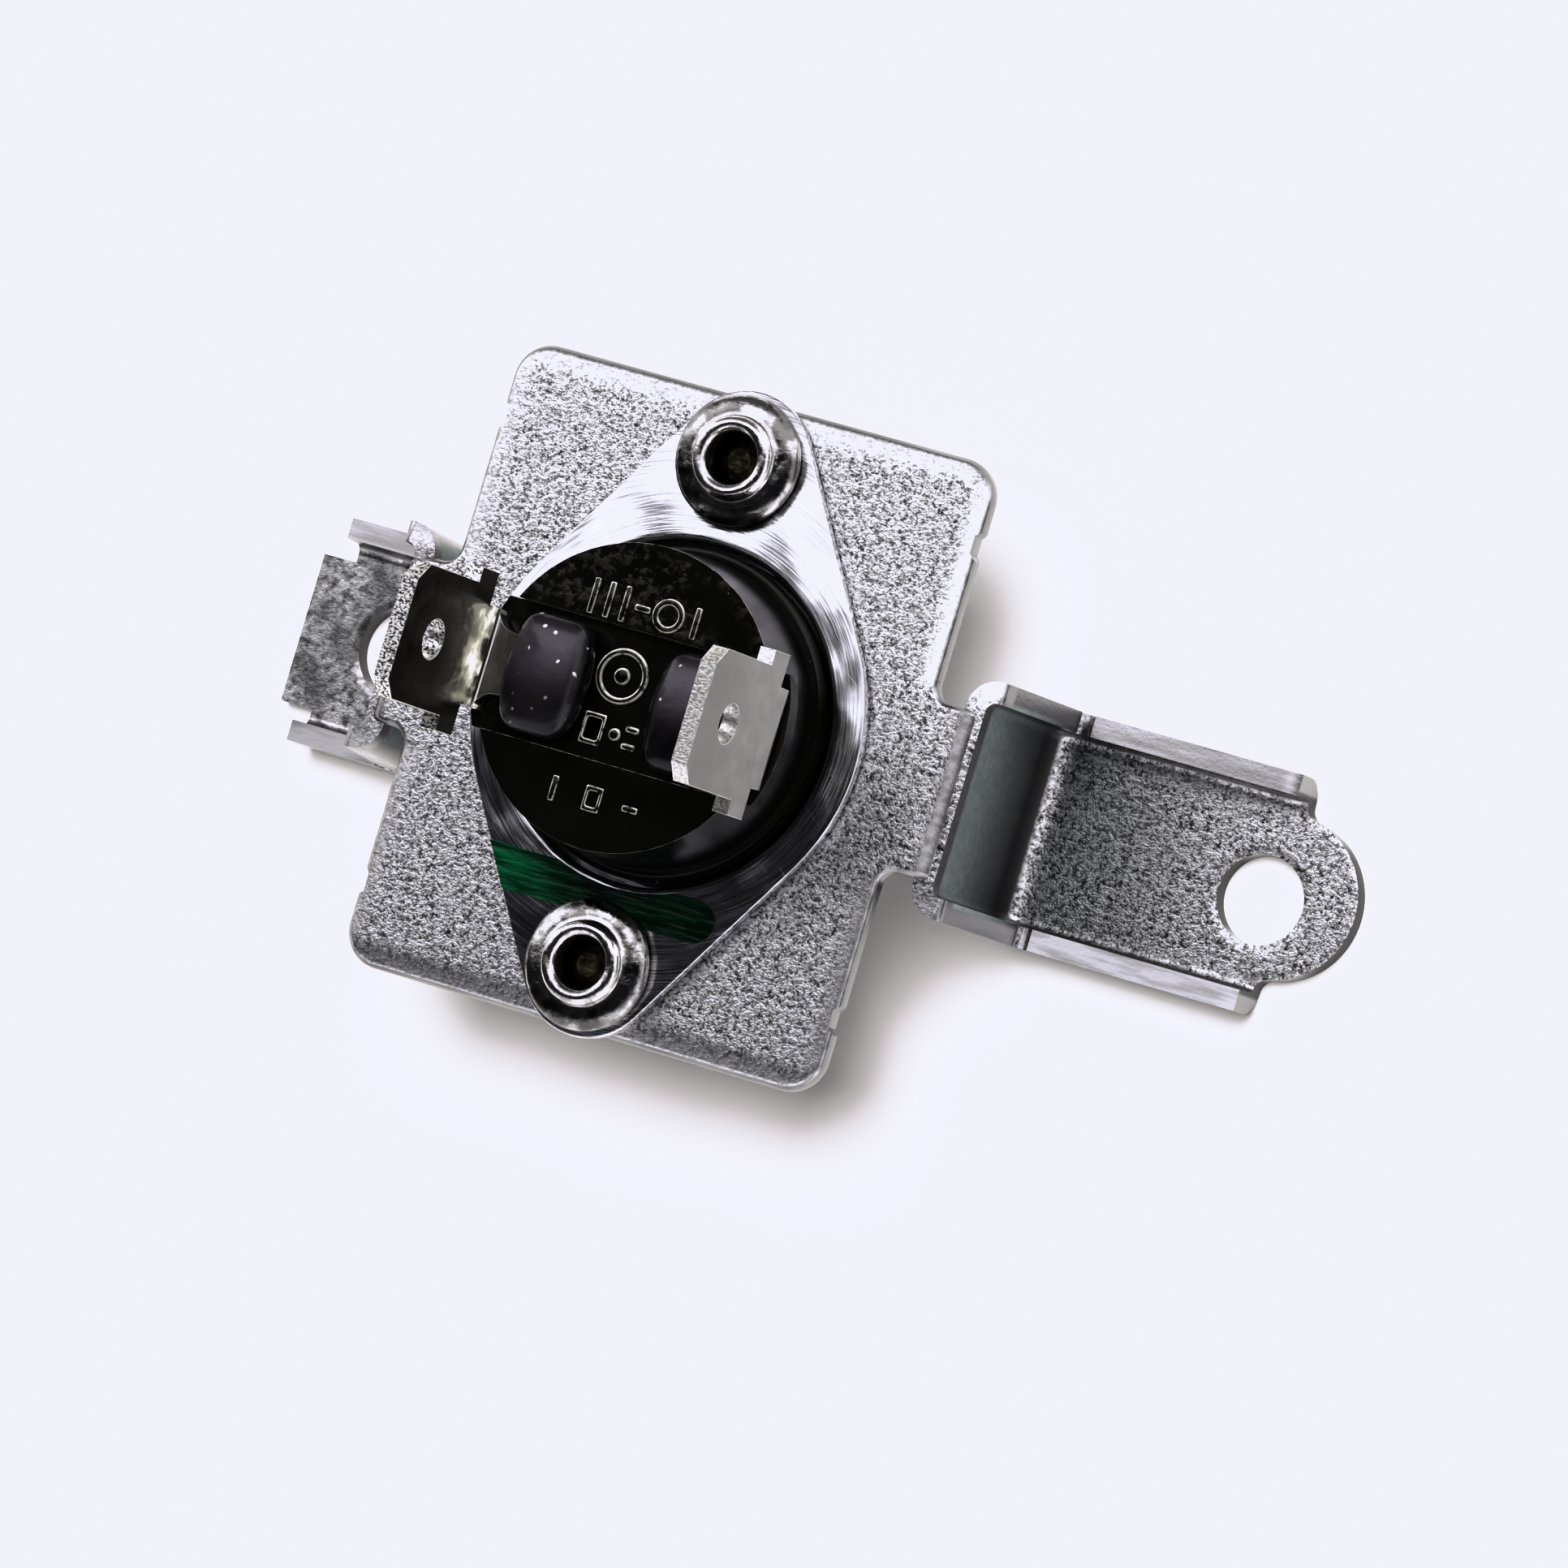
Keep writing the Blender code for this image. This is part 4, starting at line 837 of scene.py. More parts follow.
def blade_finish():
    """Satin tin plate: fine drawn lines on the broad faces, torn grain on the sheared edges, painted
    highlights on the rounded edges, and on the left blade a painted glint low down with painted shade above
    it.
    """
    finish = Finish("tinned_blade", 1.0)
    place = finish.place()
    base = colour_of("blade")
    x, y, z = finish.axes(place)
    across, _, _ = finish.axes(finish.vector("ABSOLUTE", finish.surface_normal()))
    risen = z.between(FOOT_TOP + 0.0003, FOOT_TOP + 0.0006)
    broad = across.between(0.93, 0.985)
    sheared = (1.0 - across.between(0.25, 0.45)) * risen
    edge = across.between(0.25, 0.45) * (1.0 - broad) * risen
    blotch = finish.noise(place, 900.0, 4.0).between(0.35, 0.7)
    lines = finish.noise(finish.scaled(place, (6000.0, 600.0, 6000.0)), 1.0, 2.0)
    torn = finish.noise(finish.scaled(place, (6800.0, 9000.0, 6800.0)), 1.0, 2.0, 0.6)
    plated = finish.mix(blotch * 0.5, base, shade(base, 0.72))
    left = 1.0 - x.between(-0.002, 0.002)
    grain = torn.between(0.40, 0.56)
    sheen = finish.mix(grain, shade(base, 0.75), shade(base, 1.3))
    coarse = finish.mix(grain, shade(base, 0.12), shade(base, 1.5))
    rugged = finish.mix(left, sheen, coarse)
    # Painted light: a warm near-white glint low on the left blade's broad faces, and darker olive shade
    # above it.
    near = 1.0 - z.between(FOOT_TOP + 0.0006, FOOT_TOP + 0.0046)
    above_bend = z.between(FOOT_TOP + 0.0006, FOOT_TOP + 0.0010)
    tongue = 1.0 - y.math("ABSOLUTE").between(0.0020, 0.0026) * above_bend
    left_painted_glint = left * near * broad * tongue
    left_painted_shade = finish.mix(left * broad * (1.0 - near), plated, (0.34, 0.33, 0.28))
    with_left_glint = finish.mix(left_painted_glint, left_painted_shade, (0.93, 0.92, 0.78))
    # Painted highlight: the rounded edges of the blades are coloured lighter.
    trimmed = finish.mix(edge, with_left_glint, shade(base, 1.3))
    colour = finish.mix(sheared, trimmed, rugged)
    rough = lines * 0.10 + 0.15 + blotch * 0.06 + sheared * 0.15
    relief = lines * 0.4 + finish.noise(place, 1500.0, 3.0) * 0.6 + torn * sheared * 2.0
    swell = finish.joined(z=left_painted_glint * (blotch * 0.5 + 0.50) + left * broad * 0.12 + edge * 0.9)
    lifted = finish.pushed(finish.surface_normal(), swell)
    normal = finish.bump(relief, 0.000012, 0.7, lifted)
    return finish.set(Base_Color=colour, Roughness=rough, Normal=normal)


def resin_finish():
    """Violet-grey potting resin with tiny bright specks; painted light makes it paler on its top towards
    the upper side and dark elsewhere.
    """
    finish = Finish("grey_resin")
    place = finish.place()
    base = colour_of("resin")
    cloud = finish.noise(place, 380.0, 3.0).between(0.3, 0.7)
    high = finish.axes(place)[2].between(RESIN_HIGH.z - 0.0008, RESIN_HIGH.z)
    drift = finish.scaled(finish.noise(place, 900.0, 2.0, output="Color"), (0.0006,) * 3)
    warped = finish.vector("ADD", place, drift)
    speck = 1.0 - finish.cells(warped, 1900.0, "Distance").between(0.10, 0.24)
    rare = finish.axes(finish.cells(warped, 1900.0))[0].between(0.70, 0.74)
    spark = speck * rare
    # Painted light: paler on the top towards the upper side and dark elsewhere, and the specks fainter low
    # down.
    upper = finish.axes(place)[1].between(-0.0016, 0.0018)
    tone = finish.mix(cloud * 0.2 + high * upper * 0.9, shade(base, 0.08), shade(base, 2.4))
    colour = finish.mix(spark * (upper * 0.8 + 0.2), tone, (0.80, 0.75, 0.84))
    rough = cloud * 0.12 + 0.20
    normal = finish.bump(finish.noise(place, 1300.0, 3.0) + spark * 0.5, 0.00006, 0.55)
    return finish.set(Base_Color=colour, Roughness=rough, Normal=normal)


def stripe_finish():
    """Thin glossy green paint through which the metal's scratches show, lighter at its left end."""
    finish = Finish("green_paint", 0.35)
    place = finish.place()
    base = colour_of("stripe")
    streak = finish.noise(finish.scaled(place, (500.0, 2600.0, 500.0)), 1.0, 4.0).between(0.35, 0.75)
    left_end = 1.0 - finish.axes(place)[0].between(-0.0055, -0.0010)
    paint = finish.mix(streak, shade(base, 0.20), shade(base, 0.80))
    left_end_tone = finish.mix(streak, shade(base, 1.2), shade(base, 4.2))
    colour = finish.mix(left_end, paint, left_end_tone)
    normal = finish.bump(streak, 0.00002, 0.7)
    finish.shader.inputs["Coat Weight"].default_value = 0.15
    finish.shader.inputs["Coat Roughness"].default_value = 0.08
    return finish.set(Base_Color=colour, Roughness=streak * 0.1 + 0.16, Normal=normal)


def pressed_finish(name, base, metallic, low, high):
    """Plain inner parts: fine streaks, soft blotches and a little tarnish."""
    finish = Finish(name, metallic)
    place = finish.place()
    streak = finish.noise(finish.scaled(place, (900.0, 5200.0, 900.0)), 1.0, 3.0)
    blotch = finish.noise(place, 700.0, 4.0).between(0.35, 0.7)
    colour = finish.mix(blotch, shade(base, 0.78), shade(base, 1.12))
    rough = streak * (high - low) + low
    return finish.set(Base_Color=colour, Roughness=rough, Normal=finish.bump(streak, 0.00001, 0.4))


# Bracket

def plate_quarter():
    """A quarter of the plate's rim: the fillet at a neck's root, a side and the corner."""
    fillet = arc((NECK_END_X, NECK_WIDTH / 2.0 + NECK_LENGTH), NECK_LENGTH, 270.0, 180.0)
    corner = (PLATE_WIDTH / 2.0 - PLATE_CORNER, PLATE_HEIGHT / 2.0 - PLATE_CORNER)
    return fillet + arc(corner, PLATE_CORNER, 0.0, 90.0)


def model_plate(rolled):
    """The flat plate with its necks, rolled edges and side notches."""
    quarter = plate_quarter()
    upper = on_bracket(quarter + mirror_x(quarter))
    lower = mirror_y(upper)
    plate = slab("bracket_sheet", upper + lower, PLATE_UNDER, PLATE_TOP)
    round_runs(plate, (upper, lower), "XY", rolled, 5)
    rim = PLATE_WIDTH / 2.0
    half = NOTCH_LENGTH / 2.0
    for side in (1, -1):
        for end in (1, -1):
            notch = [(rim - NOTCH_DEPTH, end * NOTCH_Y - half + NOTCH_DEPTH),
                     (rim + NOTCH_DEPTH, end * NOTCH_Y - half - NOTCH_DEPTH),
                     (rim + NOTCH_DEPTH, end * NOTCH_Y + half + NOTCH_DEPTH),
                     (rim - NOTCH_DEPTH, end * NOTCH_Y + half - NOTCH_DEPTH)]
            cut = slab("notch", on_bracket(notch, side), PLATE_UNDER - REACH, PLATE_TOP + REACH)
            combine(plate, cut, "DIFFERENCE")
    return plate


def channel_path():
    """Underside of a wall and arm, from the wall's top to far beyond the arm's end."""
    centre = (WALL_FACE_X + FOOT_BEND, ARM_TOP + FOOT_BEND)
    bend = arc(centre, FOOT_BEND + SHEET, 180.0, 270.0)
    return [(WALL_FACE_X - SHEET, CHANNEL_TOP)] + bend + [(ARM_REACH_X, FOOT_UNDER)]


def channel_outline():
    """Side view of the folded channel: flanges that narrow up the wall, and a bite at their corner."""
    rim = (WALL_FACE_X + FLANGE_HEIGHT, ARM_TOP + FLANGE_HEIGHT)
    corner_centre = (WALL_FACE_X + WALL_FLANGE_TOP - FLANGE_CORNER, CHANNEL_TOP - FLANGE_CORNER)
    corner = arc(corner_centre, FLANGE_CORNER, 90.0, 0.0, 15.0)
    bite = arc(rim, CORNER_BITE, 90.0, 360.0, 15.0)
    return channel_path()[::-1] + corner + bite + [(ARM_REACH_X, rim[1])]


def channel_floor():
    """Inside of the channel along wall and arm."""
    centre = (WALL_FACE_X + FOOT_BEND, ARM_TOP + FOOT_BEND)
    bend = arc(centre, FOOT_BEND, 180.0, 270.0)
    return [(WALL_FACE_X, CHANNEL_TOP + REACH)] + bend + [(ARM_REACH_X + REACH, ARM_TOP)]


def long_arm_plan():
    """Plan of the long arm: square flange ends, then a round ear."""
    half = LONG_WIDTH / 2.0 + REACH
    away = LONG_EAR_BACK + EAR_FILLET
    reach = LONG_EAR_RADIUS + EAR_FILLET
    touch = math.degrees(math.acos(away / reach))
    centre = (LONG_EAR_X + away, math.sqrt(reach ** 2 - away ** 2))
    upper = [(WALL_FACE_X - SHEET - REACH, half), (LONG_FLANGE_END_X, half)]
    upper += arc(centre, EAR_FILLET, 180.0, 180.0 + touch)[:-1]
    upper += arc((LONG_EAR_X, 0.0), LONG_EAR_RADIUS, touch, 0.0)
    return upper + mirror_y(upper)[1:]


def short_arm_plan():
    """Plan of the short arm: square flange ends, then a square tab."""
    half = SHORT_WIDTH / 2.0 + REACH
    tab = SHORT_TAB_WIDTH / 2.0
    upper = [(WALL_FACE_X - SHEET - REACH, half), (SHORT_FLANGE_END_X, half)]
    upper += [(SHORT_FLANGE_END_X, tab), (SHORT_TAB_END_X, tab)]
    return upper + mirror_y(upper)


def sway(item, amount):
    """Lean a folded leg sideways; its top stays and its foot shifts by the amount."""
    for vertex in item.data.vertices:
        vertex.co.y += amount * (PLATE_TOP - vertex.co.z) / (PLATE_TOP - FOOT_UNDER)


def model_arm(name, side, width, lean, plan, hole_x, hole_radius):
    """A wall and arm folded as one channel, trimmed to its plan and drilled."""
    half = width / 2.0
    inner = half - SHEET
    low, high = FOOT_UNDER - REACH, PLATE_TOP + REACH
    arm = slab(name, on_bracket(channel_outline(), side), -half, half, "XZ")
    round_runs(arm, [on_bracket(channel_path(), side)], "XZ", FLANGE_FOLD + SHEET, 8)
    floor = channel_floor()
    void = floor + [(floor[-1][0], floor[0][1])]
    hollow = slab(name + "_hollow", on_bracket(void, side), -inner, inner, "XZ")
    round_runs(hollow, [on_bracket(floor, side)], "XZ", FLANGE_FOLD, 6)
    combine(arm, hollow, "DIFFERENCE")
    combine(arm, slab(name + "_plan", on_bracket(plan, side), low, high), "INTERSECT")
    sway(arm, lean)
    hole = circle((side * hole_x + BRACKET_SHIFT, HOLE_ASIDE), hole_radius, 96)
    return combine(arm, slab(name + "_hole", hole, low, ARM_TOP + REACH), "DIFFERENCE")


def model_shoulder_bend(side, rolled):
    """The bend from a neck down into the wall."""
    start = (NECK_END_X - NECK_LENGTH, PLATE_TOP - SHEET / 2.0)
    outline = bent_sheet(start, 0.0, [NECK_LENGTH, (-90.0, TOP_BEND), 0.004], SHEET)
    middle = len(outline) // 2
    faces = [on_bracket(outline[:middle], side), on_bracket(outline[middle:], side)]
    bend = slab("top_bend", on_bracket(outline, side), -NECK_WIDTH / 2.0, NECK_WIDTH / 2.0, "XZ")
    round_runs(bend, faces, "XZ", rolled, 5)
    return bend


class ThermostatBracket(bpy.types.Operator):
    """Model the folded sheet bracket"""

    bl_idname = "thermostat.bracket"
    bl_label = "Bracket"

    def execute(self, context):
        sizes = context.scene.thermostat_sizes
        bracket = model_plate(sizes.rolled_edge)
        arms = (
            model_arm("long_arm", 1, LONG_WIDTH, 0.0, long_arm_plan(),
                      LONG_EAR_X - LONG_HOLE_INSET, LONG_HOLE_RADIUS),
            model_arm("short_arm", -1, SHORT_WIDTH, SHORT_SWAY, short_arm_plan(),
                      WALL_FACE_X + SHORT_HOLE_FROM_WALL, SHORT_HOLE_RADIUS),
        )
        for side, arm in zip((1, -1), arms):
            combine(bracket, model_shoulder_bend(side, sizes.rolled_edge), "UNION")
            combine(bracket, arm, "UNION")
        bore = slab("bore", circle((0.0, 0.0), PLATE_BORE, 120), PLATE_UNDER - REACH, PLATE_TOP + REACH)
        combine(bracket, bore, "DIFFERENCE")
        for side in (1, -1):
            hole = circle((0.0, side * RIVET_Y), RIVET_HOLE, 48)
            combine(bracket, slab("hole", hole, PLATE_UNDER - REACH, PLATE_TOP + REACH), "DIFFERENCE")
        soften(bracket, sizes.cut_edge, 3, 50.0)
        dress(bracket, zinc_finish(), "zinc_sheet", "bracket")
        return {"FINISHED"}


# Cup, rivets and body

def oval_outline():
    """The flange: a round middle joined to two small round ends by straight sides."""
    lean = math.degrees(math.asin((OVAL_RADIUS - OVAL_END_RADIUS) / RIVET_Y))
    right = arc((0.0, 0.0), OVAL_RADIUS, -lean, lean)
    top = arc((0.0, RIVET_Y), OVAL_END_RADIUS, lean, 180.0 - lean)
    left = arc((0.0, 0.0), OVAL_RADIUS, 180.0 - lean, 180.0 + lean)
    bottom = arc((0.0, -RIVET_Y), OVAL_END_RADIUS, 180.0 + lean, 360.0 - lean)
    return right + top + left + bottom


class ThermostatCap(bpy.types.Operator):
    """Model the drawn cup with its oval flange"""

    bl_idname = "thermostat.cap"
    bl_label = "Cup and flange"

    def execute(self, context):
        roll = CUP_ROLL
        under = FLANGE_TOP - OVAL_THICKNESS
        outer = CUP_BORE + CUP_WALL
        flange = slab("cap_flange", oval_outline(), under, FLANGE_TOP)
        hole = slab("hole", circle((0.0, 0.0), outer - 0.00005, 120), under - REACH, FLANGE_TOP + REACH)
        combine(flange, hole, "DIFFERENCE")
        for side in (1, -1):
            hole = circle((0.0, side * RIVET_Y), RIVET_HOLE, 48)
            combine(flange, slab("hole", hole, under - REACH, FLANGE_TOP + REACH), "DIFFERENCE")
        soften(flange, FLANGE_EDGE, 3, 50.0)
        rim = CUP_BORE + roll
        profile = [(0.0, CUP_FLOOR), (DISC_LEDGE_RADIUS, CUP_FLOOR), (DISC_LEDGE_RADIUS, LEDGE_Z)]
        profile += [(CUP_BORE, LEDGE_Z)]
        profile += arc((rim, FLANGE_TOP - roll), roll, 180.0, 90.0, 10.0)
        profile += [(outer + 0.0001, FLANGE_TOP), (outer + 0.0001, FLANGE_TOP - 0.0003)]
        profile += [(outer, under)]
        profile += arc((outer - CUP_EDGE, CUP_EDGE), CUP_EDGE, 0.0, -90.0, 10.0)
        profile += [(0.0, 0.0)]
        cap = combine(lathe("cap_shell", profile), flange, "UNION")
        dress(cap, aluminium_finish(), "spun_aluminium", "flanged_cap")
        return {"FINISHED"}


def rivet_profile():
    """Half section of a blind rivet: thick ring round the bore, groove, dome, rolled rim."""
    seat = FLANGE_TOP + SEAT_GAP
    tail = PLATE_UNDER - SEAT_GAP
    end = RIVET_UNDER
    ring = (RIVET_RING - RIVET_BORE) / 2.0
    shoulder = RIVET_TOP - RIVET_RING_HEIGHT
    width = RIVET_HEAD - RIVET_RING - RIVET_GROOVE
    height = shoulder - seat - RIVET_EDGE_HEIGHT
    profile = [(RIVET_BORE, end)]
    profile += arc((RIVET_BORE + ring, RIVET_TOP - ring), ring, 180.0, 0.0, 7.5)
    profile += [(RIVET_RING, shoulder + 0.00003), (RIVET_RING + 0.00006, shoulder)]
    for angle in range(80, -1, -8):
        turn = math.radians(angle)
        across = RIVET_RING + RIVET_GROOVE + width * math.cos(turn)
        profile.append((across, seat + RIVET_EDGE_HEIGHT + height * math.sin(turn)))
    profile += arc((RIVET_HEAD - RIVET_EDGE, seat + RIVET_EDGE), RIVET_EDGE, 0.0, -60.0, 15.0)
    profile += [(RIVET_HEAD - RIVET_EDGE, seat), (RIVET_SHANK, seat), (RIVET_SHANK, tail)]
    middle = RIVET_TAIL_LENGTH / 2.0
    profile += arc((RIVET_TAIL - middle, (tail + end) / 2.0), middle, 90.0, -90.0, 10.0)
    return profile + [(RIVET_BORE, end)]


def mandrel_profile():
    """Half section of the pulled pin that stays in a rivet."""
    end = MANDREL_UNDER + MANDREL_HEAD_LENGTH
    neck = MANDREL_TOP - MANDREL_RADIUS * 0.4
    profile = [(0.0, MANDREL_TOP), (MANDREL_RADIUS * 0.6, MANDREL_TOP), (MANDREL_RADIUS, neck)]
    profile += [(MANDREL_RADIUS, end), (MANDREL_HEAD, end)]
    profile += [(MANDREL_HEAD, end - MANDREL_HEAD_LENGTH / 2.0), (MANDREL_HEAD * 0.6, MANDREL_UNDER)]
    return profile + [(0.0, MANDREL_UNDER)]


class ThermostatRivets(bpy.types.Operator):
    """Model the two blind rivets and the pins left in them"""

    bl_idname = "thermostat.rivets"
    bl_label = "Mounting rivets"

    def execute(self, context):
        bright, dull = rivet_finish(), mandrel_finish()
        rivet = lathe("rivet_head_upper", rivet_profile(), 96)
        pin = lathe("rivet_pin_upper", mandrel_profile(), 48)
        lower = duplicate(rivet, "rivet_head_lower"), duplicate(pin, "rivet_pin_lower")
        for items, side, name in (((rivet, pin), 1, "upper"), (lower, -1, "lower")):
            for item in items:
                move(item, (0.0, side * RIVET_Y, 0.0))
            dress(items[0], bright, "bright_rivet", "rivet_" + name, angle=50.0)
            dress(items[1], dull, "mandrel_steel", "mandrel_" + name)
        return {"FINISHED"}


def frame_mark(outline, inset, low, high):
    """A raised outline of even width round a four-sided or round shape."""
    mark = slab("mark_frame", outline, low, high)
    middle = Vector((sum(x for x, _ in outline), sum(y for _, y in outline))) / len(outline)
    reach = max((Vector(point) - middle).length for point in outline)
    shrink = 1.0 - inset / reach
    inside = [tuple(middle + (Vector(point) - middle) * shrink) for point in outline]
    return combine(mark, slab("mark_inside", inside, low - REACH, high + REACH), "DIFFERENCE")


def box(x, y, width, height):
    """Corners of an upright rectangle round a point."""
    right, top = x + width / 2.0, y + height / 2.0
    left, bottom = x - width / 2.0, y - height / 2.0
    return [(left, bottom), (right, bottom), (right, top), (left, top)]


def raised_marks(height):
    """Plain raised shapes where the moulding carries its marks: rings, frames, bars and pips."""
    stroke, low, high = MARK_STROKE, TRENCH_Z - MARK_SINK, TRENCH_Z + height
    marks = [
        frame_mark(circle(ROUND_MARK, 0.00130), stroke, low, high),
        slab("mark_pip", circle(ROUND_MARK, 0.00040, 24), low, high),
        frame_mark(box(-0.0013, SMALL_MARKS_Y, 0.0011, 0.0015), stroke, low, high),
        slab("mark_pip", circle((-0.0002, SMALL_MARKS_Y), 0.00030, 24), low, high),
    ]
    bars = [(0.0006, SMALL_MARKS_Y + offset, 0.0007, stroke) for offset in (0.0004, -0.0004)]
    marks += [slab("mark_bar", box(*bar), low, high) for bar in bars]
    low, high = FACE_TOP - MARK_SINK, FACE_TOP + height * 0.7
    bars = [(x, UPPER_MARKS_Y, stroke, 0.0017) for x in (-0.0028, -0.0020, -0.0012)]
    bars += [(-0.0003, UPPER_MARKS_Y, 0.0008, stroke), (0.0024, UPPER_MARKS_Y, stroke, 0.0015)]
    bars += [(-0.0020, LOWER_MARKS_Y, stroke, 0.0012), (0.0019, LOWER_MARKS_Y, 0.0008, stroke)]
    marks += [slab("mark_bar", box(*bar), low, high) for bar in bars]
    marks.append(frame_mark(circle((0.0010, UPPER_MARKS_Y), 0.00080, 36), stroke, low, high))
    marks.append(frame_mark(box(0.0, LOWER_MARKS_Y, 0.0009, 0.0012), stroke, low, high))
    return [soften(mark, height * 0.6, 2) for mark in marks]


class ThermostatBody(bpy.types.Operator):
    """Model the moulded body with its trench and plain raised marks"""

    bl_idname = "thermostat.body"
    bl_label = "Moulded body"

    def execute(self, context):
        sizes = context.scene.thermostat_sizes
        fillet = BODY_FILLET
        profile = [(0.0, FACE_TOP), (FACE_RADIUS, FACE_TOP), (BODY_ROOT, SHOULDER_Z + fillet)]
        profile += [(BODY_ROOT + fillet * 0.3, SHOULDER_Z + fillet * 0.3), (BODY_ROOT + fillet, SHOULDER_Z)]
        profile += [(BODY_BASE, SHOULDER_Z), (BODY_BASE, BODY_UNDER), (CAVITY_RADIUS, BODY_UNDER)]
        profile += [(CAVITY_RADIUS, CEILING_Z), (0.0, CEILING_Z)]
        body = lathe("body_moulding", profile)
        half = TRENCH_WIDTH / 2.0
        spread = math.degrees(math.asin(half / LIP_RADIUS))
        lips = arc((0.0, 0.0), LIP_RADIUS, -spread, spread)
        lips += arc((0.0, 0.0), LIP_RADIUS, 180.0 - spread, 180.0 + spread)
        combine(body, slab("lips", lips, TRENCH_Z - LIP_THICKNESS, TRENCH_Z), "UNION")
        reach = LIP_RADIUS + REACH
        trench = [(-reach, -half), (reach, -half), (reach, half), (-reach, half)]
        combine(body, slab("trench", trench, TRENCH_Z, FACE_TOP + REACH), "DIFFERENCE")
        for side in (1, -1):
            hole = circle((side * POST_X, 0.0), POST_HOLE, 36)
            combine(body, slab("post_hole", hole, CEILING_Z - REACH, TRENCH_Z + REACH), "DIFFERENCE")
        soften(body, BODY_EDGE, 4, 40.0)
        for mark in raised_marks(sizes.relief):
            combine(body, mark, "UNION")
        dress(body, body_finish(), "black_phenolic", "housing")
        return {"FINISHED"}


# Terminals and resin

def foot_plan():
    """Plan of a terminal foot: an eye round its rivet, a waist, then the full neck width."""
    neck = BLADE_NECK_WIDTH / 2.0
    waist = WAIST_WIDTH / 2.0
    bend = BLADE_FACE_X - BLADE_BEND
    middle = (POST_X + bend) / 2.0
    upper = arc((POST_X, 0.0), EYE_RADIUS, 180.0, 80.0)
    upper += [(middle, waist * 0.93)]
    upper += arc((bend - 0.0007, neck), neck - waist * 0.98, 270.0, 360.0, 10.0)
    upper += [(bend + 2.0 * REACH, neck + BLADE_BEND)]
    return upper + mirror_y(upper)[:-1]


def blade_plan():
    """Face view of a blade above its foot: neck, shoulders, blade and chamfered tip."""
    neck, shoulder, half = BLADE_NECK_WIDTH / 2.0, SHOULDER_WIDTH / 2.0, BLADE_WIDTH / 2.0
    top = BLADE_NECK_LENGTH + SHOULDER_LENGTH
    right = [
        (neck, -BLADE_SHEET - 2.0 * REACH),
        (neck, BLADE_NECK_LENGTH),
        (shoulder, BLADE_NECK_LENGTH),
        (shoulder, top),
        (half, top),
        (half, BLADE_HEIGHT - BLADE_CHAMFER),
        (half - BLADE_CHAMFER, BLADE_HEIGHT),
    ]
    return right + mirror_x(right)


def surround(name, loop, low, high, plane="XY"):
    """A block round an outline with the outline cut out, so that cutting with it leaves the outline."""
    margin = 3.0 * REACH
    xs, ys = [x for x, _ in loop], [y for _, y in loop]
    left, right, bottom, top = min(xs) - margin, max(xs) + margin, min(ys) - margin, max(ys) + margin
    block = slab(name, [(left, bottom), (right, bottom), (right, top), (left, top)], low, high, plane)
    return combine(block, slab(name + "_inner", loop, low - REACH, high + REACH, plane), "DIFFERENCE")


def stand(tool, side, lean):
    """Stand a tool in the leaning plane of a blade, its zero at the foot's top."""
    pick(tool)
    tool.rotation_euler = (0.0, -side * math.radians(lean), 0.0)
    tool.location = (side * (BLADE_FACE_X + BLADE_SHEET / 2.0), 0.0, FOOT_TOP)
    bpy.ops.object.transform_apply(location=True, rotation=True, scale=False)
    return tool


def model_terminal(name, side, lean, edge):
    """One strip bent up into a blade, trimmed to the plan of its foot and the face of its blade."""
    start_x = POST_X - EYE_RADIUS - REACH
    bend_x = BLADE_FACE_X - BLADE_BEND
    moves = [bend_x - start_x, (90.0 + lean, BLADE_BEND), BLADE_HEIGHT + REACH]
    outline = bent_sheet((start_x, TERMINAL_UNDER + BLADE_SHEET / 2.0), 0.0, moves, BLADE_SHEET)
    half = SHOULDER_WIDTH / 2.0 + REACH
    terminal = slab(name, sided(outline, side), -half, half, "XZ")
    below, above = TERMINAL_UNDER - REACH, FOOT_TOP + BLADE_NECK_LENGTH / 2.0
    combine(terminal, surround("foot_trim", sided(foot_plan(), side), below, above), "DIFFERENCE")
    face = surround("blade_trim", blade_plan(), -BLADE_SHEET, BLADE_SHEET, "YZ")
    combine(terminal, stand(face, side, lean), "DIFFERENCE")
    eye = circle((side * POST_X, 0.0), POST_HOLE, 36)
    combine(terminal, slab("eye", eye, below, FOOT_TOP + REACH), "DIFFERENCE")
    hole = circle((0.0, BLADE_HEIGHT - BLADE_HOLE_FROM_TIP), BLADE_HOLE_RADIUS, 48)
    detent = slab("detent", hole, -2.0 * BLADE_SHEET, 2.0 * BLADE_SHEET, "YZ")
    combine(terminal, stand(detent, side, lean), "DIFFERENCE")
    return soften(terminal, edge, 3, 40.0)


class ThermostatTerminals(bpy.types.Operator):
    """Model the two stamped blades"""

    bl_idname = "thermostat.terminals"
    bl_label = "Terminals"

    def execute(self, context):
        finish = blade_finish()
        edge = context.scene.thermostat_sizes.blade_edge
        for name, side, lean in (("left", -1, LEFT_LEAN), ("right", 1, RIGHT_LEAN)):
            blade = model_terminal("blade_" + name, side, lean, edge)
            dress(blade, finish, "tinned_blade", "terminal_" + name)
        return {"FINISHED"}


